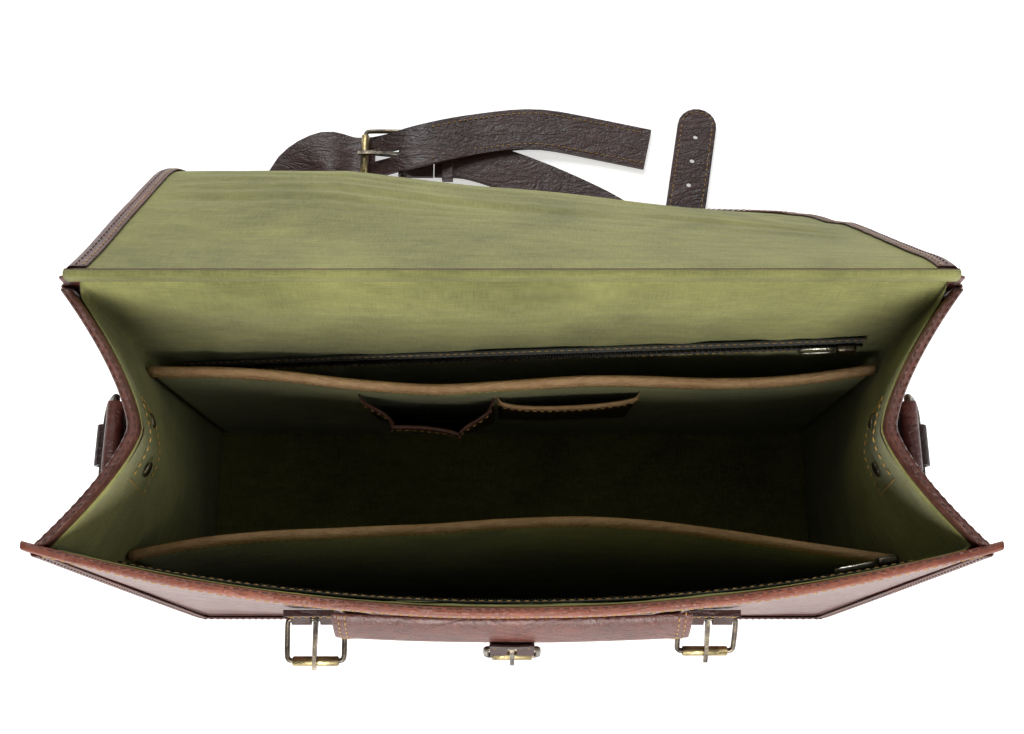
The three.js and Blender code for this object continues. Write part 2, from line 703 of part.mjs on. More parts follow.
// A level strap end from y = 3 to y = TIP_LENGTH with a round end and three holes.
function strapTip(halfWidth) {
  const shape = new THREE.Shape();
  shape.moveTo(-halfWidth, 3);
  shape.lineTo(halfWidth, 3);
  shape.lineTo(halfWidth, TIP_LENGTH - halfWidth);
  for (let k = 1; k < 10; k++) {
    const a = (Math.PI * k) / 10;
    shape.lineTo(halfWidth * Math.cos(a), TIP_LENGTH - halfWidth + halfWidth * Math.sin(a));
  }
  shape.lineTo(-halfWidth, TIP_LENGTH - halfWidth);
  for (const y of [28, 50, 72]) {
    shape.holes.push(new THREE.Path(circle(8).map(([c, s]) => new THREE.Vector2(2.2 * c, y + 2.2 * s))));
  }
  const geometry = new THREE.ExtrudeGeometry(shape, { depth: STRAP, bevelEnabled: false });
  return geometry.translate(0, 0, -STRAP / 2);
}

// ---------------------------------------------------------------- shoulder strap
const STRAP_WIDTH = 36;
const ringEnd = {
  out: eyeOut + RING_LENGTH * Math.cos(RING_TILT),
  z: RING_EYE_Z - RING_LENGTH * Math.sin(RING_TILT),
};
const LOOP_HANG = 40;

function buildShoulderStrap() {
  // the folded ends that hold the rings
  for (const [side, sign] of [["left", -1], ["right", 1]]) {
    const group = onSide(sign);
    const loopTab = foldedTab(() => -(ringEnd.out - EYE_WALL), 0, LOOP_HANG, 4, 22, 0);
    add(side + "_strap_end", turnOver(loopTab, ringEnd.z), darkLeather, group);
  }
  const hangX = ringEnd.out - EYE_WALL + 2;
  const hangZ = ringEnd.z - LOOP_HANG - 2.5;
  // from the left ring down behind the bag, under the flap and out to the buckle
  const long = [
    [-hangX, SIDE_Y, hangZ, 0, 1, 0],
    [-231, -12, 180, 0, 1, 0],
    [-243, -2, 115, 0, 1, 0.1],
    [-248, 24, 62, 0, 0.8, 0.6],
    [-248, 64, 31, 0, 0.35, 1],
    [-242, 105, 22, 0, 0, 1],
    [-226, 145, 20, 0.35, 0.1, 0.9],
    [-208, 185, 13.4, 0.85, 0.2, 0.5],
    [-196, 222, 4.6, 1, 0.2, 0.05],
    [-189, 250, 2.4, 1, 0.1, 0],
    [-178, 283, 5.6, 0.8, -0.6, 0],
    [-152, 297, 11, 0.2, -1, 0],
    [-130, 294, 6.2, 0, -1, 0],
    [-116, 293.5, 7.4, 0, -1, 0],
    [-101, 293, 14.5, 0, -1, 0],
    [-86, 294, 21.4, 0, -1, 0],
    [-66, 299, 22, 0.1, -1, 0],
    [-30, 311, 14, 0.2, -1, 0],
    [20, 319, 8, 0, -1, 0],
    [70, 312, 4, -0.1, -1, 0],
    [112, 303, 3, -0.15, -1, 0],
  ];
  const strap = ribbon(long, STRAP_WIDTH, STRAP, 84);
  const slotLow = vec(BUCKLE.x - 24, BUCKLE.y - 3.2, 4);
  const slotHigh = vec(BUCKLE.x - 2, BUCKLE.y + 3.2, 26);
  add("long_strap", cutBox(strap, slotLow, slotHigh), darkLeather);
  const short = [
    [hangX, SIDE_Y, hangZ, 0, 1, 0],
    [231, -12, 180, 0, 1, 0],
    [243, -2, 115, 0, 1, 0.1],
    [248, 24, 62, 0, 0.8, 0.6],
    [247, 64, 31, 0, 0.35, 1],
    [234, 105, 22, 0, 0.1, 1],
    [205, 140, 19.5, 0.45, 0.5, 0.85],
    [160, 178, 11, 0.7, 0.9, 0.4],
    [118, 212, 4.2, 0.65, 0.75, 0],
    [82, 242, 2.3, 0.6, 0.8, 0],
    [46, 262, 2.8, 0.5, 1, 0],
    [6, 279, 5, 0.3, 1, 0],
    [-34, 291, 9, 0.1, 1, 0],
    [-50, BUCKLE.y, 10.6, 0, 1, 0],
    [BUCKLE.x + CHAPE_LONG + 0.8, BUCKLE.y, 11.1, 0, 1, 0],
  ];
  add("short_strap", ribbon(short, STRAP_WIDTH, STRAP, 60), darkLeather);
}

const BUCKLE = vec(-88, 292, 14);
const CHAPE_LONG = 24;

// The buckle on the short piece lies almost flat behind the flap.
function buildStrapBuckle() {
  const group = buckle("strap_buckle", BUCKLE, 0, STRAP_WIDTH + 4, 32);
  group.rotation.set(0, 0, -Math.PI / 2);
  bag.add(group);

  // the folded end of the short piece, which holds the heel bar
  const THICK = 3;
  const chape = foldedTab(() => 0, 0, CHAPE_LONG, THICK, STRAP_WIDTH, TONGUE_SLOT);
  chape.applyMatrix4(new THREE.Matrix4().makeBasis(vec(0, -1, 0), vec(0, 0, -1), vec(1, 0, 0)));
  chape.translate(BUCKLE.x, BUCKLE.y, BUCKLE.z - EYE_WALL);
  add("strap_buckle_chape", chape, darkLeather);

  const rivet = new THREE.CylinderGeometry(3.2, 4, 1.4, 16);
  rivet.rotateX(Math.PI / 2);
  rivet.translate(BUCKLE.x + 15, BUCKLE.y - 5, BUCKLE.z - EYE_WALL + THICK + GAP + 0.7);
  add("strap_rivet", rivet, metal);

  // a loose leather loop round the short piece
  const LOOP_WIDE = 9;
  const hole = [STRAP_WIDTH / 2 + 0.8, 2.3];
  const wallThick = 1.6;
  const outline = (grow) => [
    [-hole[0] - grow, -hole[1] - grow],
    [hole[0] + grow, -hole[1] - grow],
    [hole[0] + grow, hole[1] + grow],
    [-hole[0] - grow, hole[1] + grow],
  ];
  const shape = new THREE.Shape(outline(wallThick).map(([y, z]) => new THREE.Vector2(y, z)));
  shape.holes.push(new THREE.Path(outline(0).map(([y, z]) => new THREE.Vector2(y, z))));
  const keeper = new THREE.ExtrudeGeometry(shape, { depth: LOOP_WIDE, bevelEnabled: false });
  keeper.applyMatrix4(new THREE.Matrix4().makeBasis(vec(0, 1, 0), vec(0, 0, 1), vec(1, 0, 0)));
  keeper.translate(-57, BUCKLE.y, 10.9);
  add("strap_keeper", keeper, darkLeather);
}

buildShell();
buildLining();
buildRims();
buildDividers();
buildInnerPockets();
buildZips();
buildClosureBuckles();
buildFrontPocket();
buildSides();
buildFlap();
buildShoulderStrap();
buildStrapBuckle();

export default bag;
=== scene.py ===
# %% [markdown]
# # A leather messenger bag, open
# The bag stands on its bottom with its flap thrown back behind it. A ready-made frame holds the place of
# every working piece, and each cell below makes one real piece round that frame, in metres.

# %% Load the frame
import json
import math

import bmesh
import bpy
from mathutils import Matrix, Vector, noise


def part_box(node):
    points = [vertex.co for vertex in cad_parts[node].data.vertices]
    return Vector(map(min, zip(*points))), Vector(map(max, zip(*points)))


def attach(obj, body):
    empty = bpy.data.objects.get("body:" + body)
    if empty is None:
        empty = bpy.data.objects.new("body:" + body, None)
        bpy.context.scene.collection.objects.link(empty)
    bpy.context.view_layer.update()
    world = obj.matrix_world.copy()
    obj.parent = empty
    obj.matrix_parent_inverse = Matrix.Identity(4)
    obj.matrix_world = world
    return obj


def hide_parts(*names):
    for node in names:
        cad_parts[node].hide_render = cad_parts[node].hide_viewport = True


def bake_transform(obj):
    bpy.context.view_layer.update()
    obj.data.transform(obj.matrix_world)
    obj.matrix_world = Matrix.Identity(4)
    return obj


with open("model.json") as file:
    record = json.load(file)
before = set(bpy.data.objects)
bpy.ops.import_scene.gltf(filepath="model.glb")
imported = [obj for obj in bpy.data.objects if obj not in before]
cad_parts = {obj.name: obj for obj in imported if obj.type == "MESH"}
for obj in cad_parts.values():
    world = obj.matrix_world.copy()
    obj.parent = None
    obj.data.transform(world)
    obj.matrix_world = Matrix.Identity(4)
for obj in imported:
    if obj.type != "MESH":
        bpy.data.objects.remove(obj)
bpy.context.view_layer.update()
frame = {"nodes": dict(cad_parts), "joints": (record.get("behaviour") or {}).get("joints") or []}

MM = 0.001
joints = {joint["name"]: joint for joint in frame["joints"]}

# %% [markdown]
# ## Camera and studio
# The camera stands over the open mouth and looks down, a little towards the back. A pale floor and large
# soft lamps give the even light of a product table.

# %% Camera, floor and lamps
scene = bpy.context.scene
scene.view_settings.view_transform = "Standard"

camera_data = bpy.data.cameras.new("camera")
camera_data.lens = 42.68
camera_data.sensor_width = 36
camera = bpy.data.objects.new("camera", camera_data)
camera.location = (0, -0.162, 0.910)
camera.rotation_euler = (math.radians(17), 0, 0)
scene.collection.objects.link(camera)
scene.camera = camera


def lamp(name, place, aim, width, watts, colour=(1, 1, 1)):
    """A square soft lamp at a place, turned towards a point."""
    data = bpy.data.lights.new(name, "AREA")
    data.size = width
    data.energy = watts
    data.color = colour
    made = bpy.data.objects.new(name, data)
    made.location = place
    made.rotation_mode = "QUATERNION"
    made.rotation_quaternion = (Vector(aim) - Vector(place)).to_track_quat("-Z", "Y")
    scene.collection.objects.link(made)


lamp("key_lamp", (-0.1, -1.8, 1.4), (0, 0, 0.2), 1.3, 64, (1, 0.985, 0.95))
lamp("side_lamp", (1.6, -0.3, 1.1), (0, 0, 0.15), 1.0, 7)
lamp("back_lamp", (-0.3, 1.6, 1.3), (0, 0.05, 0.2), 1.2, 30)
world = bpy.data.worlds.new("room")
scene.world = world
world.use_nodes = True
world.node_tree.nodes["Background"].inputs["Color"].default_value = (1, 1, 1, 1)
world.node_tree.nodes["Background"].inputs["Strength"].default_value = 0.16

# %% [markdown]
# ## A short way to write materials
# A material is a web of nodes. Wrapping a socket in a small class lets its sums be written as plain
# expressions, so a mask such as `1 - worn * 0.3` makes its Math nodes by itself.


# %% The socket wrapper
class Value:
    """A node socket of one material; sums on it make Math nodes."""

    def __init__(self, tree, socket):
        self.tree, self.socket = tree, socket

    def node(self, kind, settings=None, **sockets):
        """Adds a node: its settings first, then values or links for its sockets."""
        made = self.tree.nodes.new("ShaderNode" + kind)
        for key, value in (settings or {}).items():
            if key == "stops":
                ramp = made.color_ramp
                while len(ramp.elements) < len(value):
                    ramp.elements.new(0.5)
                for element, (at, level) in zip(ramp.elements, value):
                    element.position = at
                    element.color = (level, level, level, 1)
            else:
                setattr(made, key, value)
        for key, value in sockets.items():
            numbered = key[0] == "i" and key[1:].isdigit()
            socket = made.inputs[int(key[1:]) if numbered else key.replace("_", " ")]
            if isinstance(value, Value):
                self.tree.links.new(value.socket, socket)
            else:
                socket.default_value = value
        return made

    def of(self, made, output=0):
        return Value(self.tree, made.outputs[output])

    def sum(self, operation, first, second=0.0):
        return self.of(self.node("Math", {"operation": operation}, i0=first, i1=second))

    def __add__(self, other):
        return self.sum("ADD", self, other)

    def __sub__(self, other):
        return self.sum("SUBTRACT", self, other)

    def __rsub__(self, other):
        return self.sum("SUBTRACT", other, self)

    def __mul__(self, other):
        return self.sum("MULTIPLY", self, other)

    __radd__, __rmul__ = __add__, __mul__

    def noise(self, scale, detail=3.0, twist=0.0):
        """Cloudy noise read at this place, about scale lumps to the metre."""
        return self.of(self.node("TexNoise", Vector=self, Scale=scale, Detail=detail, Distortion=twist))

    def cells(self, scale, feature="F1"):
        return self.of(self.node("TexVoronoi", {"feature": feature}, Vector=self, Scale=scale))

    def stretch(self, x, y, z=1.0):
        """This place, drawn out along the axes."""
        return self.of(self.node("Mapping", Vector=self, Scale=(x, y, z)))

    def ramp(self, *stops):
        return self.of(self.node("ValToRGB", {"stops": stops}, Fac=self))

    def blend(self, first, second):
        """A colour from first to second as this mask goes from 0 to 1."""
        return self.of(self.node("Mix", {"data_type": "RGBA"}, i0=self, i6=first, i7=second), 2)


def start(name, coordinates):
    """A new material: its shader and the place its patterns read."""
    made = bpy.data.materials.new(name)
    made.use_nodes = True
    shader = made.node_tree.nodes["Principled BSDF"]
    finder = Value(made.node_tree, None)
    place = finder.of(finder.node("TexCoord"), coordinates)
    return made, shader, place


def dress(shader, place, colour, roughness, heights):
    """Links a colour, a roughness and (height, depth in metres) bumps to a shader."""
    links = place.tree.links
    links.new(colour.socket, shader.inputs["Base Color"])
    links.new(roughness.socket, shader.inputs["Roughness"])
    normal = None
    for height, depth in heights:
        extra = {"Normal": normal} if normal else {}
        normal = place.of(place.node("Bump", Height=height, Distance=depth, **extra))
    links.new(normal.socket, shader.inputs["Normal"])


def rgb(red, green, blue):
    return (red, green, blue, 1)


# %% [markdown]
# ## Leathers
# Oiled leather has soft patches of colour, fine pores, and long creases where it bends. Each shows in the
# colour, the roughness and the bump together, so light breaks over it as over real hide.


# %% Leather materials
def leather(name, deep, worn, roughness, coordinates, pores=620, crease=0.5, coat=0.0):
    made, shader, place = start(name, coordinates)
    patches = place.noise(14, 4)
    fine = place.noise(170, 5)
    pore = place.cells(pores)
    folds = place.stretch(1, 2.6).noise(30, 5, 1.6).ramp((0.40, 0), (0.5, 1), (0.6, 0))
    rubbed = (patches * 0.7 + fine * 0.5).ramp((0.42, 0), (0.78, 1))
    hide = rubbed.blend(rgb(*deep), rgb(*worn))
    # Along the crease lines the colour is darkened as well: painted shade in the creases, on top of their bumped
    # grooves.
    hide = (folds * 0.22).blend(hide, rgb(*[c * 0.45 for c in deep]))
    hide = (pore.ramp((0.0, 1), (0.35, 0)) * 0.25).blend(hide, rgb(*[c * 0.5 for c in deep]))
    rough = (fine - 0.5) * 0.22 + (rubbed * 0.08 + roughness)
    dress(shader, place, hide, rough, [(pore, 0.00025), (fine, 0.0005), (folds, -0.0006 * crease)])
    shader.inputs["Coat Weight"].default_value = coat
    shader.inputs["Coat Roughness"].default_value = 0.35
    return made


BODY = ((0.070, 0.018, 0.013), (0.165, 0.052, 0.038))
DARK = ((0.016, 0.0045, 0.0035), (0.052, 0.014, 0.010))
body_sheet = leather("body leather on sheets", *BODY, 0.40, "UV", crease=1, coat=0.25)
body_solid = leather("body leather on solids", *BODY, 0.42, "Object", coat=0.2)
dark_sheet = leather("strap leather on sheets", *DARK, 0.42, "UV", coat=0.15)
dark_solid = leather("strap leather on solids", *DARK, 0.42, "Object", coat=0.15)
rim_sheet = leather("front rim leather", (0.13, 0.028, 0.014), (0.27, 0.075, 0.035), 0.42, "UV")
edge_sheet = leather("edge binding leather", (0.055, 0.017, 0.013), (0.16, 0.058, 0.042), 0.42, "UV")
raw_sheet = leather("cut edge leather", (0.40, 0.22, 0.10), (0.62, 0.40, 0.22), 0.75, "UV", pores=900)

# %% [markdown]
# ## Cloth, thread, teeth and brass
# The canvas is a plain weave: two crossed sets of waves make its threads. Thread is twisted, so it gets
# slanted stripes. Old brass is dark in its hollows and bright where it is handled.


# %% Canvas, tape, thread and metal materials
def woven(name, deep, bright, coordinates, thread=1 / 1100, roughness=0.92):
    made, shader, place = start(name, coordinates)
    axes = place.node("SeparateXYZ", Vector=place)
    turn = 2 * math.pi / thread / 2
    warp = place.sum("SINE", place.of(axes, 0) * turn)
    weft = place.sum("SINE", place.of(axes, 1) * turn)
    weave = warp * weft
    slubs = place.stretch(30, 400).noise(3, 3) + place.stretch(400, 30).noise(3, 3)
    patches = place.noise(12, 5, 0.6)
    soft = place.stretch(1, 3).noise(40, 4)
    tone = (patches * 0.8 + soft * 0.35 + (slubs - 1.0) * 0.45 + weave * 0.05).ramp((0.35, 0), (0.85, 1))
    cloth = tone.blend(rgb(*deep), rgb(*bright))
    rough = (soft - 0.5) * 0.1 + roughness
    dress(shader, place, cloth, rough, [(weave, 0.00012), (slubs, 0.0002), (soft, 0.0012)])
    shader.inputs["Sheen Weight"].default_value = 0.15
    return made


canvas = woven("olive canvas", (0.135, 0.138, 0.040), (0.31, 0.305, 0.098), "UV")
tape_cloth = woven("zip tape", (0.012, 0.013, 0.009), (0.035, 0.036, 0.026), "UV", 1 / 1500)


def thread(name, deep, bright):
    made, shader, place = start(name, "Object")
    twist = place.stretch(1, 1).noise(1500, 2)
    fade = place.noise(60, 2)
    colour = (twist * 0.5 + fade * 0.5).ramp((0.3, 0), (0.7, 1)).blend(rgb(*deep), rgb(*bright))
    dress(shader, place, colour, twist * 0.2 + 0.6, [(twist, 0.0003)])
    return made


mustard = thread("mustard thread", (0.30, 0.16, 0.035), (0.55, 0.34, 0.10))
brown_thread = thread("brown thread", (0.02, 0.008, 0.006), (0.10, 0.035, 0.02))


def brass(name, deep, bright, roughness):
    made, shader, place = start(name, "Object")
    tarnish = place.noise(90, 6, 0.4)
    scratch = place.stretch(1, 6, 6).noise(420, 3)
    worn = (tarnish * 0.9 + scratch * 0.25).ramp((0.46, 0), (0.72, 1))
    colour = worn.blend(rgb(*deep), rgb(*bright))
    dress(shader, place, colour, (1 - worn) * 0.2 + roughness, [(scratch, 0.0002), (tarnish, 0.0003)])
    shader.inputs["Metallic"].default_value = 1.0
    return made


gunmetal = brass("tarnished brass", (0.055, 0.048, 0.042), (0.24, 0.20, 0.15), 0.26)
tooth_metal = brass("zip teeth", (0.010, 0.010, 0.008), (0.05, 0.045, 0.03), 0.45)
roller_brass = brass("rubbed brass", (0.16, 0.13, 0.075), (0.52, 0.42, 0.21), 0.24)
nickel = brass("worn nickel", (0.35, 0.33, 0.30), (0.75, 0.72, 0.66), 0.22)
print("materials:", len(bpy.data.materials))

# %% [markdown]
# ## Ways to make a piece
# Most pieces are sheets: a flat grid whose points are carried onto the shape the piece has in the bag, then
# given the leather's thickness. Metal and small straps are smoothed copies of the frame's own solids.


# %% Finish a piece
def settle(piece, body, replaced=(), bend=None):
    """Puts a piece on its body, or, when bend is given, fixes it where it stands; hides the frame parts it
    replaces.
    """
    if bend:
        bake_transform(piece)
    else:
        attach(piece, body)
    if replaced:
        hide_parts(*replaced)
    return piece


def as_piece(name, mesh, material, smooth=True):
    data = bpy.data.meshes.new(name)
    mesh.to_mesh(data)
    mesh.free()
    piece = bpy.data.objects.new(name, data)
    scene.collection.objects.link(piece)
    data.materials.append(material)
    for face in data.polygons:
        face.use_smooth = smooth
    return piece


def thicken(piece, thickness, levels=1):
    """Solid leather or cloth behind a sheet's outer face, its edges rounded."""
    wall = piece.modifiers.new("thickness", "SOLIDIFY")
    wall.thickness = thickness * MM
    wall.offset = -1
    if levels:
        rounding = piece.modifiers.new("rounding", "SUBSURF")
        rounding.levels = rounding.render_levels = levels


# %% Sheets
def sheet(name, place, size, steps, thickness, facing, material, levels=1):
    """A sheet of about size (mm), its outer face turned towards the vector facing.
    place(u, v) gives a point in mm; u and v run from 0 to 1."""
    mesh = bmesh.new()
    layer = mesh.loops.layers.uv.new("UVMap")
    bmesh.ops.create_grid(mesh, x_segments=steps[0], y_segments=steps[1], size=0.5)
    for face in mesh.faces:
        for loop in face.loops:
            spot = loop.vert.co
            loop[layer].uv = ((spot.x + 0.5) * size[0] * MM, (spot.y + 0.5) * size[1] * MM)
    for vert in mesh.verts:
        vert.co = Vector(place(vert.co.x + 0.5, vert.co.y + 0.5)) * MM
    mesh.normal_update()
    if facing is not None:
        lean = sum((face.normal.dot(Vector(facing)) * face.calc_area() for face in mesh.faces))
        if lean < 0:
            bmesh.ops.reverse_faces(mesh, faces=mesh.faces[:])
    piece = as_piece(name, mesh, material)
    thicken(piece, thickness, levels)
    return piece


def mix(a, b, t):
    return a + (b - a) * t


def clamp(t):
    return max(0.0, min(1.0, t))


def ease(t):
    t = clamp(t)
    return t * t * (3 - 2 * t)


def lumps(x, y, z, seed=0.0):
    """Smooth noise from about -1 to 1, the same each time."""
    return noise.noise(Vector((x + seed * 17.3, y - seed * 5.1, z + seed)))


# %% Smoothed copies of the frame's solids
def refined(node, material, body, wire=False, edge=0.5, slim=(1, 1, 1)):
    """A copy of a frame solid with rounded edges; a wire gets round by subdivision.
    slim narrows the copy about its middle along each axis."""
    mesh = bmesh.new()
    mesh.from_mesh(frame["nodes"][node].data)
    bmesh.ops.remove_doubles(mesh, verts=mesh.verts[:], dist=2e-6)
    flat = math.radians(2)
    if wire:
        bmesh.ops.join_triangles(
            mesh, faces=mesh.faces[:], angle_face_threshold=0.7, angle_shape_threshold=3.1
        )
    else:
        bmesh.ops.dissolve_limit(mesh, angle_limit=flat, verts=mesh.verts[:], edges=mesh.edges[:])
    low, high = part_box(node)
    middle = (low + high) / 2
    for vert in mesh.verts:
        vert.co = middle + Vector([d * k for d, k in zip(vert.co - middle, slim)])
    piece = as_piece(node + "_finished", mesh, material)
    if wire:
        rounding = piece.modifiers.new("rounding", "SUBSURF")
        rounding.levels = rounding.render_levels = 2
    else:
        bevel = piece.modifiers.new("edges", "BEVEL")
        bevel.width = edge * MM
        bevel.segments = 3
        bevel.limit_method = "ANGLE"
        bevel.angle_limit = math.radians(38)
        piece.data.set_sharp_from_angle(angle=math.radians(60))
    return settle(piece, body, [node])


# %% Stitches
def stitches(
    name, line, up, body="bag", colour=None, pitch=4.6, long=3.3, thick=0.85, bend=None
):
    """A row of stitches along line, a list of points in mm. They are raised along up, one vector or one
    for each point."""
    mesh = bmesh.new()
    points = [Vector(p) for p in line]
    ups = [Vector(u) for u in up] if isinstance(up, list) else [Vector(up)] * len(points)
    left = pitch / 2
    for a, b, normal in zip(points, points[1:], ups):
        span = (b - a).length
        if span < 1e-6:
            continue
        along = (b - a) / span
        side = normal.cross(along).normalized()
        out = along.cross(side).normalized()
        while left <= span:
            centre = (a + along * left + out * thick * 0.15) * MM
            turn = Matrix((along, side, out)).transposed().to_4x4()
            size = Matrix.Diagonal((long / 2 * MM, thick / 2 * MM, thick / 2 * MM, 1))
            bmesh.ops.create_icosphere(
                mesh, subdivisions=1, radius=1, matrix=Matrix.Translation(centre) @ turn @ size
            )
            left += pitch
        left -= span
    piece = as_piece(name, mesh, colour or mustard)
    return settle(piece, body, bend=bend)


# %% Bound edges
def binding(name, spot, size, steps, half, deep, material, steps_round=12, levels=1):
    """A strip folded over an edge. spot(t) gives (edge point, way into the sheet, sheet normal)."""

    def place(t, v):
        point, inward, normal = spot(t)
        w = 2 * v - 1
        nose = 0.42
        if abs(w) < nose:
            turn = w / nose * math.pi / 2
            into, aside = half * (1 - math.cos(turn)), half * math.sin(turn)
        else:
            into = half + (abs(w) - nose) / (1 - nose) * (deep - half)
            aside = math.copysign(half, w)
        return point + inward * into + normal * aside

    piece = sheet(name, place, size, (steps, steps_round), 0.9, None, material, 0)
    mesh = bmesh.new()
    mesh.from_mesh(piece.data)
    mesh.faces.ensure_lookup_table()
    middle = mesh.faces[len(mesh.faces) // 2]
    centre = middle.calc_center_median() / MM
    t = 0.5
    point, inward, normal = spot(t)
    nearest = min(mesh.faces, key=lambda f: (f.calc_center_median() / MM - point).length)
    nearest.normal_update()
    if nearest.normal.dot(inward) > 0:
        bmesh.ops.reverse_faces(mesh, faces=mesh.faces[:])
        mesh.to_mesh(piece.data)
    mesh.free()
    return piece


# %% [markdown]
# ## The shape of the open bag
# Four short formulas give the outer faces of the walls. The front bows out towards its rim, the back leans
# in a little, and each gusset folds inwards down a soft valley. Everything sewn to a wall uses them.

# %% Wall formulas
bottom_low, bottom_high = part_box("bottom_panel")
rim_low, rim_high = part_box("front_rim_binding")
HALF = bottom_high.x / MM
DEPTH = (bottom_high.y - bottom_low.y) / MM
RIM_TOP = rim_high.z / MM
HEIGHT = RIM_TOP - 1.5
BULGE, LEAN, PINCH, VALLEY = 30, 16, 43, 0.45


def front_y(x, z):
    rise = max(z, 0) / HEIGHT
    return -DEPTH / 2 - rise - BULGE * rise**1.2 * (1 - (x / HALF) ** 2)


def back_y(z):
    return DEPTH / 2 - LEAN * z / HEIGHT


def side_x(z):
    return HALF + 3.5 * z / HEIGHT


def gusset_x(y, z):
    front = front_y(HALF, z)
    t = (y - front) / (back_y(z) - front)
    off = (VALLEY - t) / VALLEY if t < VALLEY else (t - VALLEY) / (1 - VALLEY)
    return side_x(z) - PINCH * (max(z, 0) / HEIGHT) ** 1.4 * (1 - clamp(off) ** 1.4)


print("bag", round(2 * HALF), "wide,", round(DEPTH), "deep,", round(HEIGHT), "high")

# %% [markdown]
# ## The leather body
# The real body is four soft panels sewn along their edges. Each is a sheet pushed about by low folds that
# run in from the corners, which is what keeps soft leather from looking like board.

# %% Front, back, sides and bottom
PANEL_TOP = RIM_TOP - 9
LEATHER = 2.6


def front_fold(x, z):
    """How far the front leather ripples in and out."""
    free = clamp(z / 40) * clamp((HALF - abs(x)) / 30)
    slant = lumps(x / 70 + z / 130, z / 60, 1) * 2.2 + lumps(x / 24, z / 60, 2) * 0.9
    return slant * free * (0.4 + 0.6 * (1 - z / HEIGHT))


def front_place(u, v):
    z = mix(1.5, PANEL_TOP, v)
    x = mix(-1, 1, u) * side_x(z)
    return (x, front_y(x, z) + front_fold(x, z) * 0.7 + 0.3, z)


front = sheet("front_leather", front_place, (2 * HALF, HEIGHT), (110, 70), LEATHER, (0, -1, 0), body_sheet)
settle(front, "bag", ["front_panel"])


def back_place(u, v):
    z = mix(1.5, 333, v)
    x = mix(-1, 1, u) * side_x(z)
    sag = 1.6 * lumps(x / 90, z / 80, 4) * clamp(z / 40) * clamp((334 - z) / 40) * clamp((HALF - abs(x)) / 40)
    return (x, back_y(z) + sag - 0.4 + 4.6 * clamp((z - 304) / 22), z)


back = sheet("back_leather", back_place, (2 * HALF, HEIGHT), (80, 60), LEATHER, (0, 1, 0), body_sheet)
settle(back, "bag", ["back_panel"])

for side, sign in (("left", -1), ("right", 1)):

    def gusset_place(u, v, sign=sign):
        z = mix(1.5, PANEL_TOP, v)
        y = mix(front_y(HALF, z) + 2.8, back_y(z) - 2.8, u)
        ripple = lumps(y / 26, z / 70, 5 + sign) * 1.6 * math.sin(math.pi * u) * clamp(z / 40)
        return (sign * (gusset_x(y, z) - 0.4 + min(ripple, 0.3)), y, z)

    size, steps, facing = (DEPTH, HEIGHT), (50, 60), (sign, 0, 0)
    panel = sheet(side + "_gusset_leather", gusset_place, size, steps, LEATHER, facing, body_sheet)
    settle(panel, "bag", [side + "_gusset"])

refined("bottom_panel", body_solid, "bag", edge=1.2)


# %% [markdown]
# ## Seam welts
# Where front and gusset meet, their edges are sewn together and stand out as a narrow double lip. The same
# lip runs along the bottom. Bound strips and a row of dark stitches make it.

# %% Welts round the front and the back
def welt_spot(face_y, outward):
    corner = 16
    bottom, top = 2.5, PANEL_TOP
    height, width = top - bottom, 2 * HALF - 4

    def spot(t):
        run = t * (2 * height + width)
        if run < height:
            x, z, way = -1, top - run, Vector((1, 0, 0))
        elif run < height + width:
            x, z, way = -1 + 2 * (run - height) / width, bottom, Vector((0, 0, 1))
        else:
            x, z, way = 1, bottom + (run - height - width), Vector((-1, 0, 0))
        near = clamp(1 - abs(run - height) / corner) + clamp(1 - abs(run - height - width) / corner)
        x = x * (side_x(z) + 1.0 - near * 1.5)
        z += near * 2
        return Vector((x, face_y(x, z) + outward * 0.9, z)), way, Vector((0, outward, 0))

    return spot


for name, face, outward in (("front", front_y, -1), ("back", lambda x, z: back_y(z), 1)):
    spot = welt_spot(face, outward)
    welt = binding(name + "_welt", spot, (1100, 14), 220, 1.5, 7, edge_sheet)
    settle(welt, "bag")
    row = [spot(i / 400) for i in range(401)]
    line = [point + way * 4.6 + normal * 1.6 for point, way, normal in row]
    stitches(name + "_welt_stitches", line, (0, outward, 0), colour=brown_thread if outward < 0 else mustard)


# %% [markdown]
# ## The lining
# One canvas bag hangs inside the leather one, a little slack, so it creases upright near its rim. It is a
# closed ring of cloth with a floor, and its back side climbs to the fold of the flap.

# %% Canvas lining
SLACK = 4.6


def lining_loop(u, z):
    """The loop of the lining at height z: front, right, back, left."""
    corners = 0.36, 0.5, 0.86
    y0 = front_y(HALF, z) + SLACK
    y1 = back_y(z) - SLACK
    wide = SLACK * 1.4
    edge_front = gusset_x(y0, z) - wide
    if u < corners[0]:
        x = mix(-edge_front, edge_front, u / corners[0])
        return Vector((x, front_y(x, z) + SLACK, z)), Vector((0, 1, 0))
    if u < corners[1]:
        y = mix(front_y(edge_front, z) + SLACK, y1, (u - corners[0]) / (corners[1] - corners[0]))
        return Vector((gusset_x(y, z) - wide, y, z)), Vector((-1, 0, 0))
    edge_back = gusset_x(y1, z) - wide
    if u < corners[2]:
        x = mix(edge_back, -edge_back, (u - corners[1]) / (corners[2] - corners[1]))
        return Vector((x, y1, z)), Vector((0, -1, 0))
    y = mix(y1, front_y(edge_front, z) + SLACK, (u - corners[2]) / (1 - corners[2]))
    return Vector((-(gusset_x(y, z) - wide), y, z)), Vector((1, 0, 0))


def lining_place(u, v):
    point, inward = lining_loop(u, mix(4.4, PANEL_TOP + 1, v))
    crease = lumps(point.x / 16, point.y / 16, point.z / 90, 7)
    crease += lumps(point.x / 50, point.y / 50, point.z / 60, 8)
    point = point + inward * max(crease, -0.4) * 1.3 * clamp(v * 6) * clamp((1 - v) * 8)
    if inward.y < -0.5:
        point.z += 12 * clamp((v - 0.9) / 0.1)
        point.y += 5.2 * clamp((v - 0.9) / 0.1) ** 2
    return point


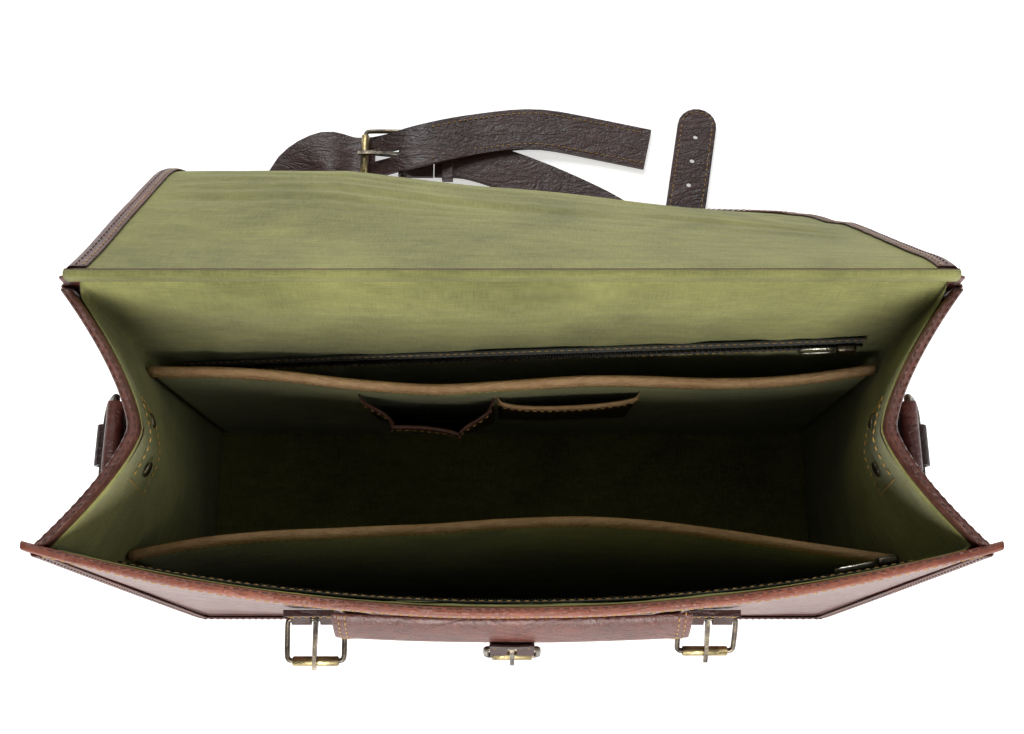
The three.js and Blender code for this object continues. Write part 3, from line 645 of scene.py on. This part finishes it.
lining = sheet("canvas_lining", lining_place, (1300, HEIGHT), (260, 60), 0.8, None, canvas, 0)
for face in lining.data.polygons:
    middle = face.center / MM
    if abs(middle.x) < 100 and middle.y < 0 and face.normal.y > 0:
        break
else:
    lining.data.flip_normals()
lining.modifiers["thickness"].offset = -1
settle(lining, "bag", ["main_lining"])
lining_floor = sheet(
    "lining_floor",
    lambda u, v: (mix(-224, 224, u), mix(-72, 72, v), 4.6 + lumps(u * 9, v * 4, 9) * 0.3),
    (448, 144),
    (40, 16),
    0.8,
    (0, 0, 1),
    canvas,
)
settle(lining_floor, "bag")


# %% [markdown]
# ## Bound rims
# The raw tops of leather and lining are wrapped in a folded strip and sewn through. The front rim is a bright
# orange brown, the side rims are nearly black brown with two rows of stitches.

# %% Rims
EAR = 3


def front_rim_spot(t):
    x = mix(-1, 1, t) * (side_x(HEIGHT) + EAR)
    wave = lumps(x / 60, 0, 3, 11) * 1.2
    spot = Vector((x, front_y(x, HEIGHT) + 1.7 + wave * 0.5, RIM_TOP - 0.4))
    return spot, Vector((0, 0, -1)), Vector((0, -1, 0))


front_rim = binding("front_rim", front_rim_spot, (480, 22), 120, 2.2, 10.5, rim_sheet)
settle(front_rim, "bag", ["front_rim_binding"])
row = [front_rim_spot(i / 240)[0] + Vector((0, 1.0, -0.4)) for i in range(4, 237)]
stitches("front_rim_stitches", row, (0, 0, 1), colour=brown_thread, thick=0.75)
row = [front_rim_spot(i / 240)[0] + Vector((0, -2.2, -6)) for i in range(4, 237)]
stitches("front_rim_stitches_outside", row, (0, -1, 0), thick=0.75)

for side, sign in (("left", -1), ("right", 1)):

    def side_rim_spot(t, sign=sign):
        y = mix(front_y(HALF, HEIGHT) + 3.2, back_y(HEIGHT) - 3.0, t)
        x = gusset_x(y, HEIGHT) - 1.8
        return Vector((sign * x, y, RIM_TOP - 1.0)), Vector((0, 0, -1)), Vector((sign, 0, 0))

    rim = binding(side + "_rim", side_rim_spot, (150, 24), 60, 3.1, 11, edge_sheet)
    settle(rim, "bag", [side + "_rim_binding"])
    for name, aside in (("outer", 1.7), ("inner", -1.7)):
        row = [side_rim_spot(i / 80)[0] + Vector((sign * aside, 0, -0.4)) for i in range(81)]
        stitches(side + "_rim_stitches_" + name, row, (0, 0, 1), colour=brown_thread, thick=0.9)

# %% [markdown]
# ## Padded dividers
# Two foam panels faced with canvas split the bag in three. Their tops wave because the bag pulls them from
# both ends. A tan strip of undyed leather closes each top edge.

# %% Dividers
DIVIDER = 6
DIVIDER_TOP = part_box("rear_divider")[1].z / MM


def rear_divider_y(x, z):
    top = 37 + 11 * (x / HALF) ** 2 + 2.5 * math.sin(7 * x / HALF)
    return mix(64, top, (z - 3.5) / (DIVIDER_TOP - 3.5))


def front_divider_y(x, z):
    top = -45 - 21.5 * (x / HALF) ** 2 + 2 * math.sin(6 * x / HALF)
    return mix(-66, top, (z - 3.5) / (DIVIDER_TOP - 3.5))


def divider_reach(middle, z):
    y = middle(HALF, z)
    return min(gusset_x(y - DIVIDER / 2, z), gusset_x(y + DIVIDER / 2, z)) - 9.6


for name, middle in (("front_divider", front_divider_y), ("rear_divider", rear_divider_y)):

    def divider_place(u, v, middle=middle):
        z = mix(5.6, DIVIDER_TOP, v)
        x = mix(-1, 1, u) * divider_reach(middle, z)
        puff = lumps(x / 45, z / 60, 12) * 0.8 * math.sin(math.pi * u)
        return (x, middle(x, z) - DIVIDER / 2 + puff, z)

    pad = sheet(name + "_pad", divider_place, (430, 217), (90, 44), DIVIDER, (0, -1, 0), canvas)
    settle(pad, "bag", [name])

    def top_spot(t, middle=middle):
        x = mix(-1, 1, t) * (divider_reach(middle, DIVIDER_TOP) + 1)
        sway = lumps(x / 35, 1, 1, 14) * 0.5
        spot = Vector((x, middle(x, DIVIDER_TOP) + sway, DIVIDER_TOP + 4.1))
        return spot, Vector((0, 0, -1)), Vector((0, -1, 0))

    trim = binding(name + "_trim", top_spot, (430, 20), 110, 2.6, 9, raw_sheet, 10)
    settle(trim, "bag", [name + "_edge"])
    row = [top_spot(i / 200)[0] + Vector((0, -2.7, -5.5)) for i in range(201)]
    stitches(name + "_trim_stitches", row, (0, -1, 0), thick=0.7)

# %% [markdown]
# ## Inner pockets
# A phone pocket with pleated sides and a flat pen pocket are sewn to the rear divider. The pleats are made by
# letting the cloth run back on itself before it goes on.

# %% Phone pocket and pen pocket
def pocket(name, node, x0, x1, bottom, mouth, gape, pleat, steps):
    def place(u, v):
        z = mix(bottom, mouth, v)
        x = mix(x0, x1, u) + pleat * math.sin(4 * math.pi * u) * v
        stand = gape(u) * math.sqrt(v) + pleat * 0.6 * (1 - math.cos(4 * math.pi * u)) * v * 0.5
        return (x, rear_divider_y(x, z) - DIVIDER / 2 - 1.0 - stand, z)

    made = sheet(name, place, (x1 - x0, mouth - bottom), steps, 1.4, (0, -1, 0), dark_sheet)
    settle(made, "bag", [node])
    hem = [Vector(place(i / 60, 1)) + Vector((0, -0.4, -4)) for i in range(61)]
    stitches(name + "_hem_stitches", hem, (0, -1, 0), thick=0.7)

    def lip(t):
        return Vector(place(t, 1)) + Vector((0, 0.7, 1.2)), Vector((0, 0, -1)), Vector((0, -1, 0))

    trim = binding(name + "_lip", lip, (x1 - x0, 10), steps[0], 1.2, 4.5, edge_sheet if pleat else raw_sheet, 8)
    settle(trim, "bag")


def rounded(u):
    return max(math.sin(math.pi * u), 0) ** 0.35


pocket(
    "pleated_phone_pocket", "phone_pocket", -93, -11, 90, 200, lambda u: mix(12, 24, u) * rounded(u), 7, (60, 24)
)
pocket("flat_pen_pocket", "pen_pocket", -9, 78, 100, 200, lambda u: 9 * rounded(u), 0, (40, 20))

# %% [markdown]
# ## Zips
# A zip is two strips of woven tape with small teeth gripping between them. The tapes follow the wall. Each
# tooth is one small block, so several hundred of them stay light, and the row is closed all along.

# %% Zip tapes and teeth
rear_slider_low, rear_slider_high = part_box("rear_zip_slider")
rear_slider_mid = (rear_slider_low + rear_slider_high) / 2 / MM
ZIP_SLOPE = 0.135
ZIP_REACH = 205
LINING_FACE = 5.3


def rear_zip_line(x, up=0.0, stand=1.0):
    z = rear_slider_mid.z + ZIP_SLOPE * (x - rear_slider_mid.x) + up
    return Vector((x, back_y(z) - LINING_FACE - stand, z))


front_slider_low, front_slider_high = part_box("front_zip_slider")
FRONT_ZIP_Z = (front_slider_low.z + front_slider_high.z) / 2 / MM


def front_zip_line(x, up=0.0, stand=1.0):
    z = FRONT_ZIP_Z + up
    return Vector((x, front_y(x, z) + LINING_FACE + stand, z))


for name, line, facing in (("rear", rear_zip_line, -1), ("front", front_zip_line, 1)):
    for part, low_up, high_up in (("lower", -12, -0.7), ("upper", 0.7, 12)):
        tape = sheet(
            name + "_zip_" + part + "_tape",
            lambda u, v: line(mix(-ZIP_REACH, ZIP_REACH, u), mix(low_up, high_up, v), 1.2),
            (2 * ZIP_REACH, 11),
            (60, 4),
            0.9,
            (0, facing, 0),
            tape_cloth,
        )
        settle(tape, "bag", [name + "_zip_tape"])
    teeth = bmesh.new()
    count = int(2 * ZIP_REACH / 1.7)
    for i in range(count):
        up = 0.55 if i % 2 else -0.55
        spot = line(mix(-ZIP_REACH, ZIP_REACH, (i + 0.5) / count), up, 1.7)
        size = Matrix.Diagonal((1.15 * MM, 1.3 * MM, 2.6 * MM, 1))
        bmesh.ops.create_cube(teeth, size=1, matrix=Matrix.Translation(spot * MM) @ size)
    settle(as_piece(name + "_zip_teeth", teeth, tooth_metal, False), "bag")
    for part, up in (("low", -9.5), ("high", 9.5)):
        row = [line(mix(-ZIP_REACH, ZIP_REACH, i / 60), up, 1.3) for i in range(61)]
        stitches(name + "_zip_stitches_" + part, row, (0, facing, 0), thick=0.6)
for name in ("rear", "front"):
    refined(name + "_zip_slider", gunmetal, name + "_slider", edge=1.6)
    refined(name + "_zip_puller", nickel, name + "_puller", wire=True)

# %% [markdown]
# ## Roller buckles
# A frame of bent wire, a loose tube over its far bar so a strap slides easily, and a tongue turning on its
# heel bar. The roller is spun from a small outline. Wire and tongue are rounded copies of the frame's solids.

# %% Buckles and rings
def roller(node, axis, body):
    """A tube with rolled ends, spun round the bar it runs on."""
    low, high = (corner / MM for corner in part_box(node))
    middle, reach = (low + high) / 2, (high - low) / 2
    long = reach[axis]
    thin = reach[(axis + 1) % 3]
    way = Vector([1 if i == axis else 0 for i in range(3)])
    aside = Vector((0, 0, 1))
    outline = [(-long, 2.6), (-long, thin - 0.5), (-long + 0.6, thin)]
    outline += [(-x, r) for x, r in reversed(outline)]
    mesh = bmesh.new()
    ring = [mesh.verts.new((middle + way * a + aside * r) * MM) for a, r in outline]
    edges = [mesh.edges.new((a, b)) for a, b in zip(ring, ring[1:] + ring[:1])]
    bmesh.ops.spin(
        mesh, geom=ring + edges, cent=middle * MM, axis=way, angle=2 * math.pi, steps=32, use_merge=True
    )
    bmesh.ops.remove_doubles(mesh, verts=mesh.verts[:], dist=1e-6)
    bmesh.ops.recalc_face_normals(mesh, faces=mesh.faces[:])
    made = as_piece(node + "_tube", mesh, roller_brass)
    made.data.set_sharp_from_angle(angle=math.radians(50))
    settle(made, body, [node])


for name in ("left", "right", "pocket"):
    refined(name + "_buckle_frame", gunmetal, name + "_frame", wire=True)
    refined(name + "_buckle_tongue", gunmetal, name + "_pin", edge=0.9, slim=(0.66, 1, 1))
    roller(name + "_buckle_roller", 0, name + "_roller")
refined("strap_buckle_frame", gunmetal, "bag", wire=True)
refined("strap_buckle_tongue", gunmetal, "bag", edge=0.9, slim=(1, 0.66, 1))
roller("strap_buckle_roller", 1, "strap_roller")
for name in ("left", "right"):
    refined(name + "_d_ring", gunmetal, name + "_ring", wire=True)
    refined(name + "_strap_end", dark_solid, name + "_ring", edge=0.7)
    for end in ("front", "back"):
        refined(name + "_rivet_" + end, gunmetal, "bag", edge=0.6)
refined("strap_rivet", nickel, "bag", edge=0.6)
print("metal pieces made")

# %% [markdown]
# ## Small straps that hold the hardware
# Each buckle hangs on a chape: a strip folded round the heel bar and sewn down. Side tabs hold the rings the
# same way. They are firm leather, so rounded copies of the frame's solids with their own stitches do well.

# %% Chapes and side tabs
def mid(node):
    low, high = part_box(node)
    return (low + high) / 2 / MM, (high - low) / 2 / MM


for name, sign in (("left", -1), ("right", 1)):
    refined(name + "_buckle_chape", dark_solid, "bag", edge=0.8)
    centre, reach = mid(name + "_buckle_chape")
    face = front_y(114, 118) - 4.7
    for part, x in (("near", -13), ("far", 13)):
        row = [(centre.x + x, front_y(114, z) - 4.7, z) for z in range(99, 123, 2)]
        stitches(name + "_chape_stitches_" + part, row, (0, -1, 0))
    row = [(centre.x + x, front_y(114, 121) - 4.7, 121) for x in range(-13, 14, 2)]
    stitches(name + "_chape_stitches_top", row, (0, -1, 0))

    refined(name + "_side_tab", body_solid, "bag", edge=1.0)
    centre, reach = mid(name + "_side_tab")
    for part, y in (("near", -15.2), ("far", 15.2)):
        tab_x = max(gusset_x(-32, 275), gusset_x(4, 275)) + 4.7
        row = []
        for z in range(255, 297, 2):
            x = max(gusset_x(-32, z), gusset_x(4, z)) + 4.6
            row.append((sign * x, -14 + y, z))
        stitches(name + "_tab_stitches_" + part, row, (sign, 0, 0))
    # the same seam seen from inside, round the two rivets
    loop = []
    patch = [(-36, 262), (8, 262), (8, 300), (-36, 300)]
    for a, b in zip(patch, patch[1:] + patch[:1]):
        for i in range(13):
            y, z = mix(a[0], b[0], i / 12), mix(a[1], b[1], i / 12)
            loop.append((sign * (gusset_x(y, z) - SLACK * 1.4 - 1.1), y, z))
    stitches(name + "_tab_seam_inside", loop, (-sign, 0, 0), thick=1.0)
refined("pocket_buckle_chape", dark_solid, "pocket_cover", edge=0.7)
refined("strap_buckle_chape", dark_solid, "bag", edge=0.7)
refined("strap_keeper", dark_solid, "bag", edge=0.5)

# %% [markdown]
# ## Front pocket
# A boxed pocket on the front, with its own flap and a decorative strap. The flap is a soft curved sheet with
# rounded lower corners and two rows of mustard stitches.

# %% Pocket body
POCKET_HALF, POCKET_DEEP = 100, 11


def pocket_place(u, v):
    z = mix(24, 186, v)
    x = mix(-1, 1, math.sin(math.pi * (u - 0.5)) / 2 + 0.5) * POCKET_HALF
    stand = POCKET_DEEP * max(0, 1 - abs(x / POCKET_HALF) ** 6) * min(1, v * 3) ** 0.7
    soft = lumps(x / 40, z / 40, 21) * 0.9 * clamp(stand / 8)
    return (x, front_y(x, z) - 0.3 - stand - 1.9 + soft * 0.5, z)


pocket_front = sheet("front_pocket_leather", pocket_place, (220, 165), (70, 50), 1.9, (0, -1, 0), body_sheet)
settle(pocket_front, "bag", ["front_pocket"])
for name, step in (("outer", 0.012), ("inner", 0.05)):
    row = [pocket_place(step, 1 - i / 60) for i in range(61)]
    row += [pocket_place(mix(step, 1 - step, i / 90), step * 0.7) for i in range(1, 91)]
    row += [pocket_place(1 - step, i / 60) for i in range(1, 61)]
    stitches("front_pocket_stitches_" + name, row, (0, -1, 0))

# %% Pocket flap
COVER_TOP, COVER_END, COVER_HALF = 203, 119, 104
HANG = 14


def cover_place(u, v):
    corner = 16
    z = mix(COVER_TOP, COVER_END, v)
    drop = z - COVER_END
    cut = corner - math.sqrt(max(0, corner**2 - max(0, corner - drop) ** 2))
    x = mix(-1, 1, u) * (COVER_HALF - cut)
    over = HANG * min(1, v * 4.2) ** 0.6
    soft = lumps(x / 45, z / 30, 23) * 0.7 * v
    return (x, front_y(x, z) - 3.3 - over - max(soft, -0.5) * 0.6, z)


cover = sheet("pocket_flap_leather", cover_place, (210, 95), (80, 44), 2.2, (0, -1, 0), body_sheet)
settle(cover, "pocket_cover", ["pocket_flap"])
for name, step in (("outer", 0.02), ("inner", 0.038)):
    down = step * 2.1
    row = [cover_place(step, i / 60 * (1 - down)) for i in range(61)]
    row += [cover_place(mix(step, 1 - step, i / 90), 1 - down) for i in range(1, 91)]
    row += [cover_place(1 - step, (1 - i / 60) * (1 - down)) for i in range(1, 61)]
    stitches("pocket_flap_stitches_" + name, row, (0, -1, 0), "pocket_cover")

strap_mid, strap_reach = mid("pocket_strap")


def dummy_place(u, v):
    x = mix(-1, 1, u) * 13.6
    z = mix(strap_mid.z + strap_reach.z, strap_mid.z - strap_reach.z, v)
    crown = 0.6 * (1 - (x / 13.6) ** 2)
    return (x, front_y(0, z) - HANG - 1 - 2.4 - 0.3 - 2.6 - crown, z)


dummy = sheet("pocket_strap_leather", dummy_place, (28, 44), (10, 18), 2.6, (0, -1, 0), dark_sheet)
settle(dummy, "pocket_cover", ["pocket_strap"])
for name, u in (("left", 0.13), ("right", 0.87)):
    row = [dummy_place(u, i / 20) for i in range(21)]
    stitches("pocket_strap_stitches_" + name, row, (0, -1, 0), "pocket_cover")

# %% [markdown]
# ## The big flap
# The flap is leather faced with canvas and bound round three sides. It leaves the back rim, runs over a soft
# bend and falls behind the bag. One curved surface carries both layers, the binding and all its stitches.

# %% The flap's surface
fold = Vector(joints["flap_fold"]["pos_m"]) / MM
bend = Vector(joints["flap_bend"]["pos_m"]) / MM
flap_low, flap_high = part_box("flap_lower")
UPPER = (bend - fold).length
upper_slope = math.atan2(bend.z - fold.z, bend.y - fold.y)
end = Vector((0, flap_high.y / MM - 1.9, flap_low.z / MM + 0.6))
LOWER = (end - bend).length
lower_slope = math.atan2(end.z - bend.z, end.y - bend.y)
FLAP_HALF = flap_high.x / MM
FLAP_LONG = UPPER + LOWER
SOFT_BEND = 34
track = [(fold.y, fold.z, upper_slope)]
for i in range(int(FLAP_LONG) + 30):
    turn = ease((i + 0.5 - UPPER + SOFT_BEND) / (2 * SOFT_BEND))
    slope = mix(upper_slope, lower_slope, turn)
    y, z, _ = track[-1]
    track.append((y + math.cos(slope), z + math.sin(slope), slope))


def crest_shift(x, s):
    """The soft flap sags: its bend stands further back at the left than at the right."""
    slant = mix(13, -28, clamp((x + 107) / (FLAP_HALF + 107)))
    return slant * (ease(s / UPPER) if s < UPPER else mix(1.0, 0.15, (s - UPPER) / LOWER))


def flap_at(x, s, stand=0.0, still=False):
    """A point of the flap s mm down from its fold, stand mm above its middle."""
    s = max(0.0, min(s, len(track) - 2))
    i = int(s)
    a, b = track[i], track[i + 1]
    y, z, slope = mix(a[0], b[0], s - i), mix(a[1], b[1], s - i), a[2]
    free = ease(s / 60) * (0.25 if still else 1.0)
    swell = lumps(x / 110, s / 90, 31) * 2.6
    wrinkle = lumps(x / 130 + s / 90, s / 12, 33) * 2.0 * ease((s - 70) / 60) * ease((FLAP_LONG - s) / 12)
    wrinkle *= 0.15 + 0.85 * ease((FLAP_HALF - 6 - abs(x)) / 40)
    stand += (swell + wrinkle) * free
    back = 0.0 if still else crest_shift(x, s)
    return Vector((x, y - math.sin(slope) * stand + back, z + math.cos(slope) * stand))


def flap_half(s, inset=0.0):
    corner = 26
    near = max(0.0, s - (FLAP_LONG - corner))
    return FLAP_HALF - inset - corner + math.sqrt(max(0.0, corner**2 - near**2))


across = (
    "flap_upper_half",
    "flap_lower_half",
    flap_at(0, UPPER - SOFT_BEND, 0, True) * MM,
    flap_at(0, UPPER + SOFT_BEND, 0, True) * MM,
)
print("flap:", round(UPPER), "+", round(LOWER), "mm long")

# %% Canvas face and leather face
def flap_face(stand):
    def place(u, v):
        s = mix(1.5, FLAP_LONG - 0.6, v)
        x = mix(-1, 1, u) * flap_half(s, 0.8)
        return flap_at(x, s, stand)

    return place


flap_canvas = sheet("flap_canvas", flap_face(1.7), (452, FLAP_LONG), (140, 230), 1.0, (0, 1, 1), canvas, 0)
settle(flap_canvas, None, ["flap_upper", "flap_lower"], across)
flap_hide = sheet(
    "flap_leather", flap_face(-1.9), (452, FLAP_LONG), (140, 230), 2.4, (0, -1, -1), body_sheet, 0
)
settle(flap_hide, None, (), across)


# %% Flap binding and its stitches
def border(t, inset=0.0):
    """A point (x, s) along the flap's edge, and the way inwards, from the left rim round to the right."""
    corner = 26 - inset
    straight = FLAP_LONG - 26
    width = 2 * (FLAP_HALF - 26)
    arc = math.pi / 2 * 26
    run = t * (2 * straight + 2 * arc + width)
    left = -1
    if run > straight + arc + width / 2:
        run, left = 2 * straight + 2 * arc + width - run, 1
    if run <= straight:
        spot, way = (FLAP_HALF - inset, run), (-1, 0)
    elif run <= straight + arc:
        a = (run - straight) / 26
        spot = (FLAP_HALF - 26 + corner * math.cos(a), straight + corner * math.sin(a))
        way = (-math.cos(a), -math.sin(a))
    else:
        spot, way = (FLAP_HALF - 26 - (run - straight - arc), FLAP_LONG - inset), (0, -1)
    return (left * spot[0], spot[1]), (left * way[0], way[1])


def flap_binding_spot(t):
    (x, s), (dx, ds) = border(t)
    s = max(s, 3)
    here = flap_at(x, s)
    inner = flap_at(x + dx * 2, s + ds * 2)
    inward = (inner - here).normalized()
    higher = flap_at(x, s, 1.0)
    return here - inward * 0.6, inward, (higher - here).normalized()


flap_edge = binding("flap_binding", flap_binding_spot, (1200, 24), 420, 3.4, 11, edge_sheet, 14)
settle(flap_edge, None, (), across)
for name, stand, inset in (("top", 3.5, 8.4), ("top_inner", 3.5, 4.6), ("under", -3.5, 8.4)):
    row = []
    for i in range(601):
        (x, s), _ = border(i / 600, inset)
        row.append(flap_at(x, max(s, 4), stand))
    up = (0, 0.75, 0.66) if stand > 0 else (0, -0.75, -0.66)
    thread_used = brown_thread if name == "top_inner" else mustard
    stitches("flap_edge_stitches_" + name, row, up, None, thread_used, bend=across, thick=0.8)

# %% [markdown]
# ## The fold over the back rim
# The back leather and its lining carry on into the flap. A rounded ridge centred on the fold line stays with
# the bag, so that flap and back stay joined at every angle between open and closed.

# %% Fold ridge
def ridge_place(u, v):
    r, flank = 2.3, 0.4
    x = mix(-FLAP_HALF, FLAP_HALF, u)
    if v < flank:
        drop = 5 * (1 - v / flank)
        return (x, fold.y - r, fold.z - drop)
    turn = math.pi * (1 - (v - flank) / (1 - flank) * 0.87)
    return (x, fold.y + r * math.cos(turn), fold.z + r * math.sin(turn))


ridge = sheet("fold_ridge", ridge_place, (452, 24), (80, 20), 1.0, None, canvas, 0)
ridge_mesh = bmesh.new()
ridge_mesh.from_mesh(ridge.data)
top_face = max(ridge_mesh.faces, key=lambda f: f.calc_center_median().z)
if top_face.normal.z < 0:
    bmesh.ops.reverse_faces(ridge_mesh, faces=ridge_mesh.faces[:])
ridge_mesh.to_mesh(ridge.data)
ridge_mesh.free()
settle(ridge, "bag")


def ridge_back_place(u, v):
    """The leather's way over the back of the ridge, down onto the back panel."""
    r, arc = 2.8, 0.6
    turn = math.radians(mix(25, -20, clamp(v / arc)))
    drop = 6 * clamp((v - arc) / (1 - arc))
    x = mix(-FLAP_HALF, FLAP_HALF, u)
    return (x, fold.y + r * math.cos(turn) - drop * 0.05, fold.z + r * math.sin(turn) - drop)


ridge_back = sheet("fold_ridge_leather", ridge_back_place, (452, 10), (80, 14), 0.8, (0, 1, 0), body_sheet, 0)
settle(ridge_back, "bag")

# %% [markdown]
# ## Closure straps
# Two long straps are sewn down the leather side of the flap and run on past its edge as free tips with holes.

# %% Closure straps and their tips
CLOSURE_X, STRAP_WIDE, STRAP_THICK = 130, 32, 3
for side, sign in (("left", -1), ("right", 1)):
    line = Vector(joints[side + "_strap_bend"]["pos_m"]) / MM
    sewn_end = math.hypot(line.y - bend.y, line.z - bend.z) - 1

    def sewn_place(u, v, sign=sign, sewn_end=sewn_end):
        s = UPPER + mix(90, sewn_end, v)
        x = sign * CLOSURE_X + mix(-1, 1, u) * STRAP_WIDE / 2
        crown = 0.5 * (1 - (2 * u - 1) ** 2)
        place = flap_at(x, min(s, FLAP_LONG), -5.2 - crown, False)
        if s > FLAP_LONG:
            place += Vector((0, math.cos(lower_slope), math.sin(lower_slope))) * (s - FLAP_LONG)
        return place

    size, facing = (STRAP_WIDE, 118), (0, -1, -0.3)
    sewn = sheet(side + "_closure_leather", sewn_place, size, (12, 50), STRAP_THICK - 0.4, facing, dark_sheet)
    settle(sewn, "flap_lower_half", [side + "_closure_strap"])
    for part, u in (("near", 0.12), ("far", 0.88)):
        row = [sewn_place(u, i / 60) for i in range(61)]
        stitches(side + "_closure_stitches_" + part, row, (0, -1, -0.3), "flap_lower_half")
    refined(side + "_closure_tip", dark_solid, side + "_strap_tip", edge=0.8)
    turn = Matrix.Rotation(math.radians(-9.6), 3, "Z") if sign > 0 else Matrix.Rotation(math.pi, 3, "Z")
    for part, aside in (("near", -12.6), ("far", 12.6)):
        row = []
        for i in range(41):
            y = mix(4, 84, i / 40)
            row.append(line + turn @ Vector((aside, y, 0)) + Vector((0, 0, STRAP_THICK / 2)))
        stitches(side + "_tip_stitches_" + part, row, (0, 0, 1), side + "_strap_tip")
    row = []
    for i in range(25):
        a = math.pi * i / 24
        spot = Vector((12.6 * math.cos(a), 84 + 11 * math.sin(a), 0))
        row.append(line + turn @ spot + Vector((0, 0, STRAP_THICK / 2)))
    stitches(side + "_tip_stitches_end", row, (0, 0, 1), side + "_strap_tip")

# %% [markdown]
# ## Shoulder strap
# Two pieces of heavy strap run from the rings down behind the bag and meet in a buckle. They keep the exact
# lay of the frame's solids, with rounded edges and two rows of stitches down the visible stretch.

# %% Shoulder strap
for node in ("long_strap", "short_strap"):
    refined(node, dark_solid, "bag", edge=0.7)
tail_line = [(-66, 299, 22), (-30, 311, 14), (20, 319, 8), (70, 312, 4), (108, 304, 3)]
for part, aside in (("near", -14), ("far", 14)):
    row = []
    for i in range(81):
        t = i / 80 * (len(tail_line) - 1)
        k = min(int(t), len(tail_line) - 2)
        before = Vector(tail_line[max(k - 1, 0)])
        a, b = Vector(tail_line[k]), Vector(tail_line[k + 1])
        after = Vector(tail_line[min(k + 2, len(tail_line) - 1)])
        f = t - k
        square = 2 * before - 5 * a + 4 * b - after
        cube = 3 * a - before - 3 * b + after
        point = 0.5 * (2 * a + (b - before) * f + square * f**2 + cube * f**3)
        row.append(point + Vector((0, aside, STRAP_THICK / 2 + 0.2)))
    stitches("long_strap_stitches_" + part, row, (0, 0, 1))

# %% [markdown]
# ## Floor
# The pale floor is for show and is no part of the bag.

# %% Floor
floor_mesh = bmesh.new()
bmesh.ops.create_grid(floor_mesh, x_segments=1, y_segments=1, size=15)
made, shader, place = start("studio floor", "Object")
shader.inputs["Emission Color"].default_value = (1, 1, 1, 1)
shader.inputs["Emission Strength"].default_value = 0.55
cloud = place.noise(3, 2)
pale = cloud.blend(rgb(0.86, 0.86, 0.86), rgb(0.90, 0.90, 0.90))
dress(shader, place, pale, cloud * 0.1 + 0.8, [(cloud, 0.0001)])
floor = as_piece("studio_floor", floor_mesh, made, False)
floor.location = (0, 0, 0)
